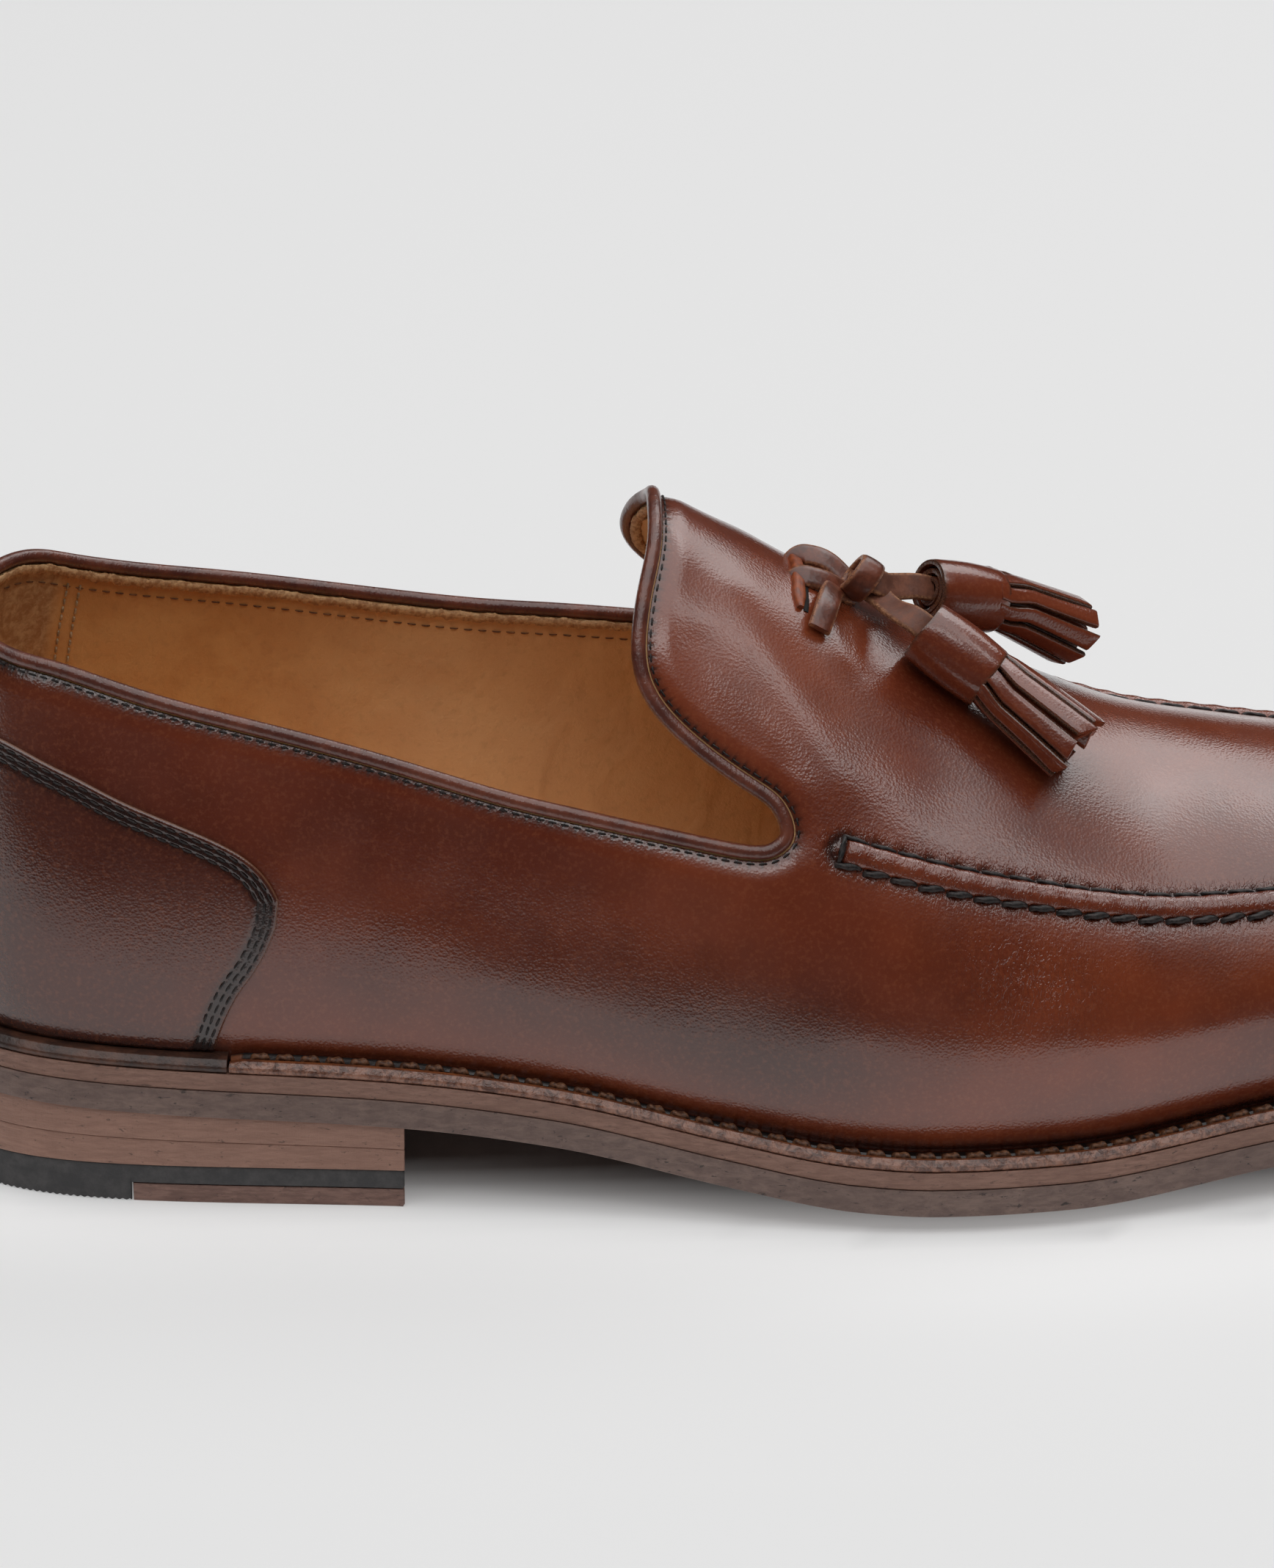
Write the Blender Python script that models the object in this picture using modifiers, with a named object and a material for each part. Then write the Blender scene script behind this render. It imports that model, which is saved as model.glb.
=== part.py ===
"""A tassel loafer for the right foot, in metres.

X runs from heel to toe, Y from the outer (lateral) side to the inner (medial) side and Z up. The origin
lies on the heel's flat underside, below the middle of the heel. A place on the shoe is given by its station
along the sole, its rise up the last from the feather line to the ridge, and its side.
"""

from math import acos, cos, pi, sin

import bmesh
import bpy
import numpy as np

# Driving dimensions, in metres.
SOLE_LENGTH = 0.288
BALL_WIDTH = 0.104
INSTEP_HEIGHT = 0.104
ORIGIN_FROM_BACK = 0.038

HEEL_LENGTH = 0.0725
HEEL_HEIGHT = 0.0135
TOE_SPRING = 0.014
TOE_SWING = 0.005
EDGE_LIFT = 0.0028
OUTSOLE_THICK = 0.0042
MIDSOLE_THICK = 0.0027
WELT_THICK = 0.0018
WELT_SHOW = 0.0056
WELT_CHAMFER = 0.0009
WELT_JOINT = 0.046
TOP_LIFT_THICK = 0.006
TOP_LIFT_STEP = 0.003
TOP_LIFT_INSERT_BACK = 0.031
LIFT_INSET = 0.0010
TOP_LIFT_INSET = 0.0015
MIDSOLE_INSET = 0.0003
WELT_INSET = 0.0005
INSOLE_THICK = 0.0025

WALL = 0.0020
BULGE = 0.0034
COUNTER_THICK = 0.0012
SEAM_WIDTH = 0.0040
SEAM_HEIGHT = 0.0015
PIPING = 0.0028
GAP = 0.0003

STRAP_WIDTH = 0.0042
STRAP_THICK = 0.0012
TIE_WIDTH = 0.0046
TIE_THICK = 0.0014
RING_WIDTH = 0.0046
RING_THICK = 0.0013
CAP_RADIUS = 0.0057
CAP_LENGTH = 0.0130
FRINGE_LENGTH = 0.0172
FRINGE_CORE = 0.0034
STRIP_THICK = 0.0014
STRIP_SPREAD = 1.22
STRIPS = 9
STRIP_FILL = 0.80
FRINGE_SQUEEZE = 0.80
FRINGE_BEND = 0.1

LATERAL, MEDIAL = -1, 1
STATIONS = 38
STEP = 1e-4
MERGE = 1e-6

# The sole's edge on each side of the centre line, as a share of half the ball's width.
SOLE_EDGE = (
    # along, lateral, medial
    (0.000, 0.000, 0.000),
    (0.035, 0.415, 0.415),
    (0.105, 0.562, 0.560),
    (0.245, 0.662, 0.640),
    (0.380, 0.800, 0.640),
    (0.535, 0.990, 0.850),
    (0.700, 0.880, 0.960),
    (0.860, 0.720, 0.765),
    (0.950, 0.475, 0.510),
    (1.000, 0.000, 0.000),
)
# Height of the outsole's underside on the centre line, as shares of the heel's height and of the toe spring,
# and how much of the edge lift a station has.
UNDERSIDE = (
    # along, heel share, toe share, edge lift share
    (0.00, 1.22, 0.00, 0.00),
    (0.12, 1.11, 0.00, 0.00),
    (0.25, 1.00, 0.00, 0.00),
    (0.33, 0.77, 0.00, 0.32),
    (0.42, 0.32, 0.00, 0.75),
    (0.49, 0.05, 0.00, 0.95),
    (0.53, 0.00, 0.00, 1.00),
    (0.60, 0.00, 0.00, 1.00),
    (0.71, 0.00, 0.24, 0.95),
    (0.85, 0.00, 0.58, 0.50),
    (1.00, 0.00, 1.00, 0.00),
)
TREAD_FLAT = 0.42
# How much of the welt's width shows, along the sole.
WELT_ROOM = ((0.00, 0.80), (0.10, 0.80), (0.25, 0.80), (0.36, 0.76), (0.50, 1.00), (1.00, 1.08))
# The last's top line: share of the instep's height.
RIDGE = (
    # along, height
    (0.125, 1.230),
    (0.240, 1.200),
    (0.330, 1.100),
    (0.392, 0.992),
    (0.470, 0.862),
    (0.540, 0.745),
    (0.605, 0.655),
    (0.640, 0.612),
    (0.680, 0.582),
    (0.740, 0.550),
    (0.820, 0.510),
    (0.880, 0.470),
)
RIDGE_OFFSET = 0.003
# The last's ribs: how far each side bulges past the feather line, as a share of BULGE, how high that is,
# as a share of the instep's height, and how much the rib thins towards the ridge.
RIBS = (
    # along, lateral, medial, height, taper
    (0.00, 0.75, 0.75, 0.19, 0.10),
    (0.10, 0.70, 0.70, 0.19, 0.08),
    (0.25, 0.55, 0.45, 0.21, 0.05),
    (0.40, 0.80, 0.50, 0.19, 0.10),
    (0.55, 1.00, 0.80, 0.155, 0.20),
    (0.70, 1.00, 1.00, 0.135, 0.24),
    (0.85, 0.90, 0.90, 0.125, 0.10),
    (1.00, 0.80, 0.80, 0.115, 0.00),
)
FOOT_RISE = 0.05
BULGE_RISE = 0.25
# The collar and the tongue's edge, from the heel to the throat's corner and on to the ridge.
OPENING = (
    # along, lateral rise, medial rise
    (0.000, 0.495, 0.495),
    (0.030, 0.480, 0.510),
    (0.072, 0.471, 0.494),
    (0.154, 0.438, 0.466),
    (0.232, 0.412, 0.453),
    (0.308, 0.402, 0.472),
    (0.383, 0.424, 0.528),
    (0.420, 0.438, 0.552),
    (0.436, 0.449, 0.566),
    (0.446, 0.466, 0.580),
    (0.4535, 0.500, 0.606),
    (0.446, 0.538, 0.632),
    (0.425, 0.553, 0.648),
    (0.391, 0.581, 0.670),
    (0.373, 0.625, 0.704),
    (0.370, 0.690, 0.756),
    (0.371, 0.760, 0.812),
    (0.371, 0.860, 0.886),
    (0.362, 1.000, 1.000),
)
CORNER_ROW = 10
TIP_ROW = 18
# The raised seam round the apron, from its ends beside the throat to the toe.
SEAM = (
    # along, lateral rise, medial rise
    (0.479, 0.500, 0.640),
    (0.540, 0.506, 0.668),
    (0.600, 0.508, 0.690),
    (0.660, 0.507, 0.700),
    (0.720, 0.512, 0.696),
    (0.800, 0.545, 0.680),
    (0.880, 0.605, 0.680),
    (0.940, 0.675, 0.705),
    (0.975, 0.735, 0.745),
    (1.000, 0.780, 0.780),
)
# The counter's upper edge, and how its front edge slopes back towards the sole.
COUNTER_TOP = (
    # along, rise
    (0.000, 0.420),
    (0.034, 0.411),
    (0.073, 0.391),
    (0.109, 0.367),
    (0.144, 0.344),
    (0.168, 0.324),
    (0.179, 0.309),
    (0.186, 0.293),
    (0.190, 0.279),
)
COUNTER_FRONT = (
    # height, share of the front's reach
    (0.00, 0.885),
    (0.23, 0.906),
    (0.45, 0.934),
    (0.62, 0.965),
    (0.76, 0.985),
    (0.89, 0.997),
    (1.00, 1.000),
)
COUNTER_FOOT_RISE = 0.07
# Shares across the sole where its layers have points.
ACROSS = (-1.0, -0.84, -0.64, -0.42, 0.0, 0.42, 0.64, 0.84, 1.0)


def cubic(knots, values):
    """A natural cubic spline through the points."""
    x, y = np.asarray(knots, float), np.asarray(values, float)
    count, h = len(x), np.diff(x)
    matrix, right = np.eye(count), np.zeros(count)
    for i in range(1, count - 1):
        matrix[i, i - 1 : i + 2] = h[i - 1], 2 * (h[i - 1] + h[i]), h[i]
        right[i] = 6 * ((y[i + 1] - y[i]) / h[i] - (y[i] - y[i - 1]) / h[i - 1])
    bend = np.linalg.solve(matrix, right)

    def at(q):
        i = int(min(max(np.searchsorted(x, q) - 1, 0), count - 2))
        ahead, behind = x[i + 1] - q, q - x[i]
        curved = (bend[i] * ahead**3 + bend[i + 1] * behind**3) / (6 * h[i])
        return (
            curved
            + (y[i] / h[i] - bend[i] * h[i] / 6) * ahead
            + (y[i + 1] / h[i] - bend[i + 1] * h[i] / 6) * behind
        )

    return at


def steady(knots, values):
    """A smooth curve through the points that stays between neighbouring values."""
    x, y = np.asarray(knots, float), np.asarray(values, float)
    h, slope = np.diff(x), np.diff(y) / np.diff(x)
    tangent = np.zeros(len(x))
    tangent[0], tangent[-1] = slope[0], slope[-1]
    for i in range(1, len(x) - 1):
        if slope[i - 1] * slope[i] > 0:
            before, after = 2 * h[i] + h[i - 1], h[i] + 2 * h[i - 1]
            tangent[i] = (before + after) / (before / slope[i - 1] + after / slope[i])

    def at(q):
        q = min(max(q, x[0]), x[-1])
        i = int(min(max(np.searchsorted(x, q) - 1, 0), len(x) - 2))
        s = (q - x[i]) / h[i]
        return (
            y[i] * (1 + 2 * s) * (1 - s) ** 2
            + h[i] * tangent[i] * s * (1 - s) ** 2
            + y[i + 1] * s * s * (3 - 2 * s)
            + h[i] * tangent[i + 1] * s * s * (s - 1)
        )

    return at


def column(table, index):
    return [row[index] for row in table]


def turn_of(along):
    """A station's turn, from 0 at the heel's back to 1 at the toe. Even turns crowd at both ends."""
    return acos(min(max(1 - 2 * along, -1), 1)) / pi


def along_of(turn):
    return (1 - cos(pi * turn)) / 2


def turns_of(table):
    return [turn_of(row[0]) for row in table]


def two_sides(curve, knots, table):
    return {LATERAL: curve(knots, column(table, 1)), MEDIAL: curve(knots, column(table, 2))}


EDGE = two_sides(cubic, turns_of(SOLE_EDGE), SOLE_EDGE)
HEEL_SHARE, TOE_SHARE, LIFT_SHARE = (
    steady(column(UNDERSIDE, 0), column(UNDERSIDE, i)) for i in (1, 2, 3)
)
SWING = steady((0, 0.30, 0.60, 1.0), (0, 0, 0.55, 1.0))
WELT_SHARE = steady(column(WELT_ROOM, 0), column(WELT_ROOM, 1))
RIDGE_SHARE = cubic(column(RIDGE, 0), column(RIDGE, 1))
BULGE_SHARE = two_sides(steady, turns_of(RIBS), RIBS)
BULGE_HEIGHT, TAPER = (steady(turns_of(RIBS), column(RIBS, i)) for i in (3, 4))
OPENING_TURN = cubic(range(len(OPENING)), turns_of(OPENING))
OPENING_RISE = two_sides(cubic, range(len(OPENING)), OPENING)
SEAM_RISE = two_sides(steady, turns_of(SEAM), SEAM)
COUNTER_RISE = steady(turns_of(COUNTER_TOP), column(COUNTER_TOP, 1))
COUNTER_SLOPE = steady(column(COUNTER_FRONT, 0), column(COUNTER_FRONT, 1))


def unit(vector):
    return vector / np.linalg.norm(vector)


def centre_line(along):
    return TOE_SWING * SWING(along)


def x_at(along):
    return SOLE_LENGTH * along - ORIGIN_FROM_BACK


def sole_edge(turn, side):
    along = along_of(turn)
    return np.array([x_at(along), centre_line(along) + side * EDGE[side](turn) * BALL_WIDTH / 2])


def edge_inset(turn, side, inset):
    """A point of the sole's edge moved in by inset, square to the edge."""
    if turn < STEP or turn > 1 - STEP:
        return sole_edge(turn, side) + np.array([inset if turn < 0.5 else -inset, 0])
    run = unit(sole_edge(turn + STEP, side) - sole_edge(turn - STEP, side))
    return sole_edge(turn, side) + inset * -side * np.array([-run[1], run[0]])


def underside(x, y):
    """Height of the outsole's underside at a place in plan."""
    along = min(max((x + ORIGIN_FROM_BACK) / SOLE_LENGTH, 0), 1)
    off = y - centre_line(along)
    half = EDGE[MEDIAL if off > 0 else LATERAL](turn_of(along)) * BALL_WIDTH / 2
    across = min(abs(off) / half, 1) if half > STEP else 0
    lift = EDGE_LIFT * LIFT_SHARE(along) * (max(across - TREAD_FLAT, 0) / (1 - TREAD_FLAT)) ** 2
    return HEEL_HEIGHT * HEEL_SHARE(along) + TOE_SPRING * TOE_SHARE(along) + lift


def midsole_top(x, y):
    return underside(x, y) + OUTSOLE_THICK + GAP + MIDSOLE_THICK


def feather_inset(turn):
    return WELT_SHOW * WELT_SHARE(along_of(turn))


def feather(turn, side):
    """The foot of the upper, on the midsole."""
    x, y = edge_inset(turn, side, feather_inset(turn))
    return np.array([x, y, midsole_top(x, y) + GAP])


def ridge_along(turn):
    back, front = RIDGE[0][0], RIDGE[-1][0]
    return back + (front - back) * along_of(turn)


def ridge(turn):
    along = ridge_along(turn)
    y = centre_line(along) + RIDGE_OFFSET * SWING(along)
    return np.array([x_at(along), y, INSTEP_HEIGHT * RIDGE_SHARE(along)])


def ridge_slope(turn):
    along = ridge_along(turn)
    rise = RIDGE_SHARE(along + STEP) - RIDGE_SHARE(along - STEP)
    return INSTEP_HEIGHT * rise / (2 * STEP * SOLE_LENGTH)


def skin(turn, rise, side):
    """The upper's outer surface: a rib stands on the feather line, bulges and leans in to the ridge."""
    foot, top = feather(turn, side), ridge(turn)
    reach = foot[:2] - top[:2]
    out, far = unit(reach), np.linalg.norm(reach)
    foot_top = foot[2] + WELT_THICK + GAP
    bulge = BULGE * BULGE_SHARE[side](turn)
    bulge_height = INSTEP_HEIGHT * BULGE_HEIGHT(turn)
    if rise <= FOOT_RISE:
        q, z = far, foot[2] + (WELT_THICK + GAP) * rise / FOOT_RISE
    elif rise <= BULGE_RISE:
        share = (rise - FOOT_RISE) / (BULGE_RISE - FOOT_RISE)
        angle = share * pi / 2
        q, z = far + bulge * sin(angle), foot_top + bulge_height * (1 - cos(angle) + share) / 2
    else:
        angle = (rise - BULGE_RISE) / (1 - BULGE_RISE) * pi / 2
        taper, widest = TAPER(turn), far + bulge
        height = top[2] - foot_top - bulge_height
        run_out = ridge_slope(turn) * out[0] * widest * (1 - taper)
        q = widest * cos(angle) * (1 - taper * sin(angle) ** 2)
        z = foot_top + bulge_height + height * sin(angle) + run_out * cos(angle) * sin(angle) ** 2
    return np.array([*(top[:2] + out * q), z])


def skin_normal(turn, rise, side):
    """The outward normal of the upper. It is read a little below the ridge, where the ribs meet."""
    rise = min(rise, 0.995)
    along = skin(min(turn + STEP, 1), rise, side) - skin(max(turn - STEP, 0), rise, side)
    up = skin(turn, rise + STEP, side) - skin(turn, max(rise - STEP, 0), side)
    return unit(np.cross(along, up) * -side)


def perch(along, sway, lift):
    """A point lift above the vamp. Sway is 0 on the ridge, below 0 on the lateral side and above 0 inside."""
    side = LATERAL if sway <= 0 else MEDIAL
    turn = turn_of(along)
    return skin(turn, 1 - abs(sway), side) + lift * skin_normal(turn, 1 - abs(sway), side)


def opening(row, side):
    """Turn and rise of the collar's edge at a row of its table."""
    return max(OPENING_TURN(row), 0), min(OPENING_RISE[side](row), 1)


def colour(name, red, green, blue, roughness):
    material = bpy.data.materials.new(name)
    material.use_nodes = True
    shader = material.node_tree.nodes["Principled BSDF"]
    shader.inputs["Base Color"].default_value = (red, green, blue, 1)
    shader.inputs["Roughness"].default_value = roughness
    shader.inputs["Metallic"].default_value = 0
    return material


def add_mesh(name, points, faces, material, collection):
    """One object, with points that coincide merged and its faces turned outward."""
    mesh = bpy.data.meshes.new(name)
    mesh.from_pydata([tuple(map(float, p)) for p in points], [], faces)
    work = bmesh.new()
    work.from_mesh(mesh)
    bmesh.ops.remove_doubles(work, verts=work.verts, dist=MERGE)
    bmesh.ops.recalc_face_normals(work, faces=work.faces)
    work.to_mesh(mesh)
    work.free()
    mesh.materials.append(material)
    mesh.shade_smooth()
    mesh.set_sharp_from_angle(angle=pi / 5)
    made = bpy.data.objects.new(name, mesh)
    collection.objects.link(made)
    return made


def grid_faces(rows, columns, first=0):
    faces = []
    for i in range(rows - 1):
        for j in range(columns - 1):
            a = first + i * columns + j
            faces.append((a, a + 1, a + columns + 1, a + columns))
    return faces


def loft(name, rings, material, collection, closed=False):
    """A body through rings of as many points each. It is capped at its ends, or closed into a loop."""
    count, size = len(rings), len(rings[0])
    faces = []
    for i in range(count if closed else count - 1):
        for j in range(size):
            a, b = i * size + j, i * size + (j + 1) % size
            after = ((i + 1) % count) * size
            faces.append((a, b, after + (j + 1) % size, after + j))
    if not closed:
        faces.append(tuple(range(size)))
        faces.append(tuple((count - 1) * size + j for j in range(size)))
    return add_mesh(name, [p for ring in rings for p in ring], faces, material, collection)


def all_round(inset):
    return lambda turn: inset


def even_turns(first, last, count):
    return [first + (last - first) * i / count for i in range(count + 1)]


def heel_turns(front):
    """Stations from the heel's back to a distance front from it."""
    last = turn_of(front / SOLE_LENGTH)
    return even_turns(0, last, max(4, round(STATIONS * last)))


def slab(name, turns, inset, low, high, material, collection):
    """A layer across the sole, between two heights."""
    rings = []
    for turn in turns:
        outer, inner = (edge_inset(turn, side, inset(turn)) for side in (LATERAL, MEDIAL))
        line = [outer + (inner - outer) * (1 + share) / 2 for share in ACROSS]
        if turn == turns[-1] < 1:
            line = [(x_at(along_of(turn)), y) for _, y in line]
        over = [(x, y, high(x, y)) for x, y in line]
        under = [(x, y, low(x, y)) for x, y in reversed(line)]
        rings.append(over + under)
    return loft(name, rings, material, collection)


def edge_ring(turn, side, section):
    """A section of the welt or rand. Each point has an inset from the sole's edge and a height."""
    ring = []
    for inset, height in section:
        x, y = edge_inset(turn, side, inset)
        ring.append((x, y, midsole_top(x, y) + GAP + height))
    return ring


def welt_section(turn):
    inner = feather_inset(turn) - GAP
    middle = (inner + WELT_INSET) / 2
    return (
        (WELT_INSET, 0),
        (WELT_INSET, WELT_THICK - WELT_CHAMFER),
        (WELT_INSET + WELT_CHAMFER, WELT_THICK),
        (middle, WELT_THICK),
        (inner, WELT_THICK),
        (inner, 0),
        (middle, 0),
    )


def make_sole(paint, collection):
    whole = even_turns(0, 1, STATIONS)
    slab("outsole", whole, all_round(0), underside, lambda x, y: underside(x, y) + OUTSOLE_THICK,
         paint["outsole"], collection)
    slab("midsole", whole, all_round(MIDSOLE_INSET), lambda x, y: midsole_top(x, y) - MIDSOLE_THICK,
         midsole_top, paint["midsole"], collection)
    joint = turn_of(WELT_JOINT / SOLE_LENGTH)
    forward = even_turns(joint, 1, STATIONS - round(STATIONS * joint))
    path = [(turn, LATERAL) for turn in forward] + [(turn, MEDIAL) for turn in reversed(forward[:-1])]
    rings = [edge_ring(turn, side, welt_section(turn)) for turn, side in path]
    loft("welt", rings, paint["welt"], collection)
    joint = turn_of((WELT_JOINT - GAP) / SOLE_LENGTH)
    back = even_turns(0, joint, round(STATIONS * joint))
    path = [(turn, LATERAL) for turn in reversed(back)] + [(turn, MEDIAL) for turn in back[1:]]
    rings = [edge_ring(turn, side, welt_section(turn)) for turn, side in path]
    loft("heel_rand", rings, paint["rand"], collection)


def make_insole(paint, collection):
    slab("insole", even_turns(0, 1, STATIONS // 2 * 2), lambda turn: feather_inset(turn) + WALL + GAP,
         lambda x, y: midsole_top(x, y) + GAP, lambda x, y: midsole_top(x, y) + GAP + INSOLE_THICK,
         paint["lining"], collection)


def box_cutter(name, low, high, collection):
    """A box between two corners that cuts another object and is itself left out."""
    bpy.ops.mesh.primitive_cube_add(size=1, location=[(a + b) / 2 for a, b in zip(low, high)])
    cutter = bpy.context.object
    cutter.name = name
    cutter.scale = [b - a for a, b in zip(low, high)]
    bpy.ops.object.transform_apply(location=False, rotation=False, scale=True)
    for owner in cutter.users_collection:
        owner.objects.unlink(cutter)
    collection.objects.link(cutter)
    cutter.hide_render = True
    cutter.display_type = "WIRE"
    return cutter


def make_heel(paint, collection, cutters):
    turns = heel_turns(HEEL_LENGTH)
    stack_low = TOP_LIFT_THICK + GAP

    def level(share):
        return lambda x, y: stack_low + share * (underside(x, y) - GAP - stack_low)

    slab("heel_lift_upper", turns, all_round(LIFT_INSET), lambda x, y: level(0.5)(x, y) + GAP / 2, level(1),
         paint["lift"], collection)
    slab("heel_lift_lower", turns, all_round(LIFT_INSET), level(0), lambda x, y: level(0.5)(x, y) - GAP / 2,
         paint["lift"], collection)
    rubber = slab("toplift_rubber", turns, all_round(TOP_LIFT_INSET), lambda x, y: 0,
                  lambda x, y: TOP_LIFT_THICK, paint["rubber"], collection)
    step = TOP_LIFT_INSERT_BACK - ORIGIN_FROM_BACK
    front = HEEL_LENGTH - ORIGIN_FROM_BACK
    low, high = (step, -BALL_WIDTH, -TOP_LIFT_STEP), (2 * front, BALL_WIDTH, TOP_LIFT_STEP)
    cutter = box_cutter("step_cutter", low, high, cutters)
    cut = rubber.modifiers.new("step", "BOOLEAN")
    cut.operation = "DIFFERENCE"
    cut.object = cutter
    insert = even_turns(turn_of((TOP_LIFT_INSERT_BACK + GAP) / SOLE_LENGTH), turns[-1], 4)
    made = slab("toplift_insert", insert, all_round(TOP_LIFT_INSET), lambda x, y: 0,
                lambda x, y: TOP_LIFT_STEP - GAP, paint["insert"], collection)
    back = x_at(along_of(insert[0]))
    for vertex in made.data.vertices:
        vertex.co.x = max(vertex.co.x, back)


QUARTER_COLUMNS = 17
CORNER_COLUMNS = (9.0, 9.5, 10)
TONGUE_ROWS = 12
TONGUE_COLUMNS = 4
VAMP_COLUMNS = 18
LOWER_ROWS = 8


def collar_rows():
    """Rows of the opening's table at even turns from the heel, and closer ones round the throat's corner."""
    row_at = steady(turns_of(OPENING[: CORNER_ROW + 1]), range(CORNER_ROW + 1))
    last = OPENING_TURN(CORNER_COLUMNS[0])
    rows = [row_at(last * i / QUARTER_COLUMNS) for i in range(QUARTER_COLUMNS)]
    return rows + list(CORNER_COLUMNS)


def tongue_rows():
    return [CORNER_ROW + (TIP_ROW - CORNER_ROW) * i / TONGUE_ROWS for i in range(TONGUE_ROWS + 1)]


def lower_rises(knee):
    above = [FOOT_RISE + (knee - FOOT_RISE) * i / LOWER_ROWS for i in range(1, LOWER_ROWS + 1)]
    return [0, FOOT_RISE] + above


def vamp_turns():
    """Stations of the vamp: the throat's corner, the ends of the apron seam and on to the toe."""
    return [opening(CORNER_ROW, LATERAL)[0]] + even_turns(turn_of(SEAM[0][0]), 1, VAMP_COLUMNS)


def apron_shares(side):
    """How far between the throat's corner and the ridge each row of the tongue lies."""
    corner = opening(CORNER_ROW, side)[1]
    return [(opening(row, side)[1] - corner) / (1 - corner) for row in tongue_rows()[1:]]


def upper_patches(side):
    """Grids of (turn, rise) that cover one side: quarter, tongue and vamp."""
    quarter = []
    for row in collar_rows():
        turn, top = opening(row, side)
        quarter.append([(turn, rise) for rise in lower_rises(top)])
    corner_turn, corner_rise = opening(CORNER_ROW, side)
    edge = [opening(row, side) for row in tongue_rows()]
    tongue = []
    for share in even_turns(0, 1, TONGUE_COLUMNS):
        tongue.append([(turn + (corner_turn - turn) * share, rise) for turn, rise in edge])
    vamp = []
    for index, turn in enumerate(vamp_turns()):
        knee = corner_rise if index == 0 else SEAM_RISE[side](turn)
        # The two sides' rows come together at the toe.
        blend = index / VAMP_COLUMNS
        above = [
            knee + (1 - knee) * (own + (shared - own) * min(blend, 1))
            for own, shared in zip(apron_shares(side), apron_shares(LATERAL))
        ]
        vamp.append([(turn, rise) for rise in lower_rises(knee) + above])
    return quarter, tongue, vamp


def make_upper(paint, collection):
    points, faces = [], []
    for side in (LATERAL, MEDIAL):
        for patch in upper_patches(side):
            faces += grid_faces(len(patch), len(patch[0]), len(points))
            points += [skin(turn, rise, side) for rib in patch for turn, rise in rib]
    upper = add_mesh("upper", points, faces, paint["calf"], collection)
    normals = sum(polygon.normal.z for polygon in upper.data.polygons if polygon.center.z > INSTEP_HEIGHT / 2)
    if normals < 0:
        upper.data.flip_normals()
    wall = upper.modifiers.new("wall", "SOLIDIFY")
    wall.thickness = WALL
    wall.offset = -1
    return upper


def make_counter(paint, collection):
    """The heel overlay, wrapped round the back from one front edge to the other."""
    last = turn_of(COUNTER_TOP[-1][0])
    shares = even_turns(-1, 1, 20)
    heights = even_turns(0, 1, 7)
    inner, outer = [], []
    for share in shares:
        side = LATERAL if share < 0 else MEDIAL
        for height in heights:
            turn = abs(share) * last * (1 - (1 - COUNTER_SLOPE(height)) * abs(share))
            top = COUNTER_RISE(abs(share) * last)
            rise = COUNTER_FOOT_RISE + height * (top - COUNTER_FOOT_RISE)
            place, normal = skin(turn, rise, side), skin_normal(turn, rise, side)
            inner.append(place + GAP * normal)
            outer.append(place + (GAP + COUNTER_THICK) * normal)
    size = len(heights)
    rings = []
    for i in range(len(shares)):
        row = slice(i * size, (i + 1) * size)
        rings.append(outer[row] + inner[row][::-1])
    loft("heel_counter", rings, paint["calf"], collection)


def make_apron_seam(paint, collection):
    """A raised roll on the vamp, from one end of the apron round the toe to the other."""
    turns = vamp_turns()[1:]
    path = [(turn, LATERAL) for turn in turns] + [(turn, MEDIAL) for turn in reversed(turns[:-1])]
    places = [skin(turn, SEAM_RISE[side](turn), side) for turn, side in path]
    rings = []
    for i, (turn, side) in enumerate(path):
        normal = skin_normal(turn, SEAM_RISE[side](turn), side)
        run = unit(places[min(i + 1, len(path) - 1)] - places[max(i - 1, 0)])
        across = unit(np.cross(normal, run))
        half = SEAM_WIDTH / 2
        section = (
            (-half, 0),
            (-0.8 * half, 0.7 * SEAM_HEIGHT),
            (0, SEAM_HEIGHT),
            (0.8 * half, 0.7 * SEAM_HEIGHT),
            (half, 0),
        )
        rings.append([places[i] + across * a + normal * (GAP + b) for a, b in section])
    loft("apron_seam", rings, paint["calf"], collection)


def opening_loop():
    """The collar's edge as (turn, rise, side), up the lateral side, over the tongue and back down."""
    rows = collar_rows() + tongue_rows()[1:]
    lateral = [(*opening(row, LATERAL), LATERAL) for row in rows]
    medial = [(*opening(row, MEDIAL), MEDIAL) for row in rows]
    return lateral + medial[-2:0:-1]


def make_piping(paint, collection):
    """The bead that lies on the rim of the opening all the way round."""
    loop = opening_loop()
    places = [skin(*spot) for spot in loop]
    rings = []
    for i, spot in enumerate(loop):
        normal = skin_normal(*spot)
        run = unit(places[(i + 1) % len(loop)] - places[i - 1])
        away = unit(np.cross(normal, run))
        centre = places[i] - normal * WALL / 2 + away * (PIPING / 2 + GAP)
        angles = [2 * pi * k / 6 for k in range(6)]
        rings.append([centre + PIPING / 2 * (normal * cos(a) + away * sin(a)) for a in angles])
    loft("collar_piping", rings, paint["piping"], collection, closed=True)


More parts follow.
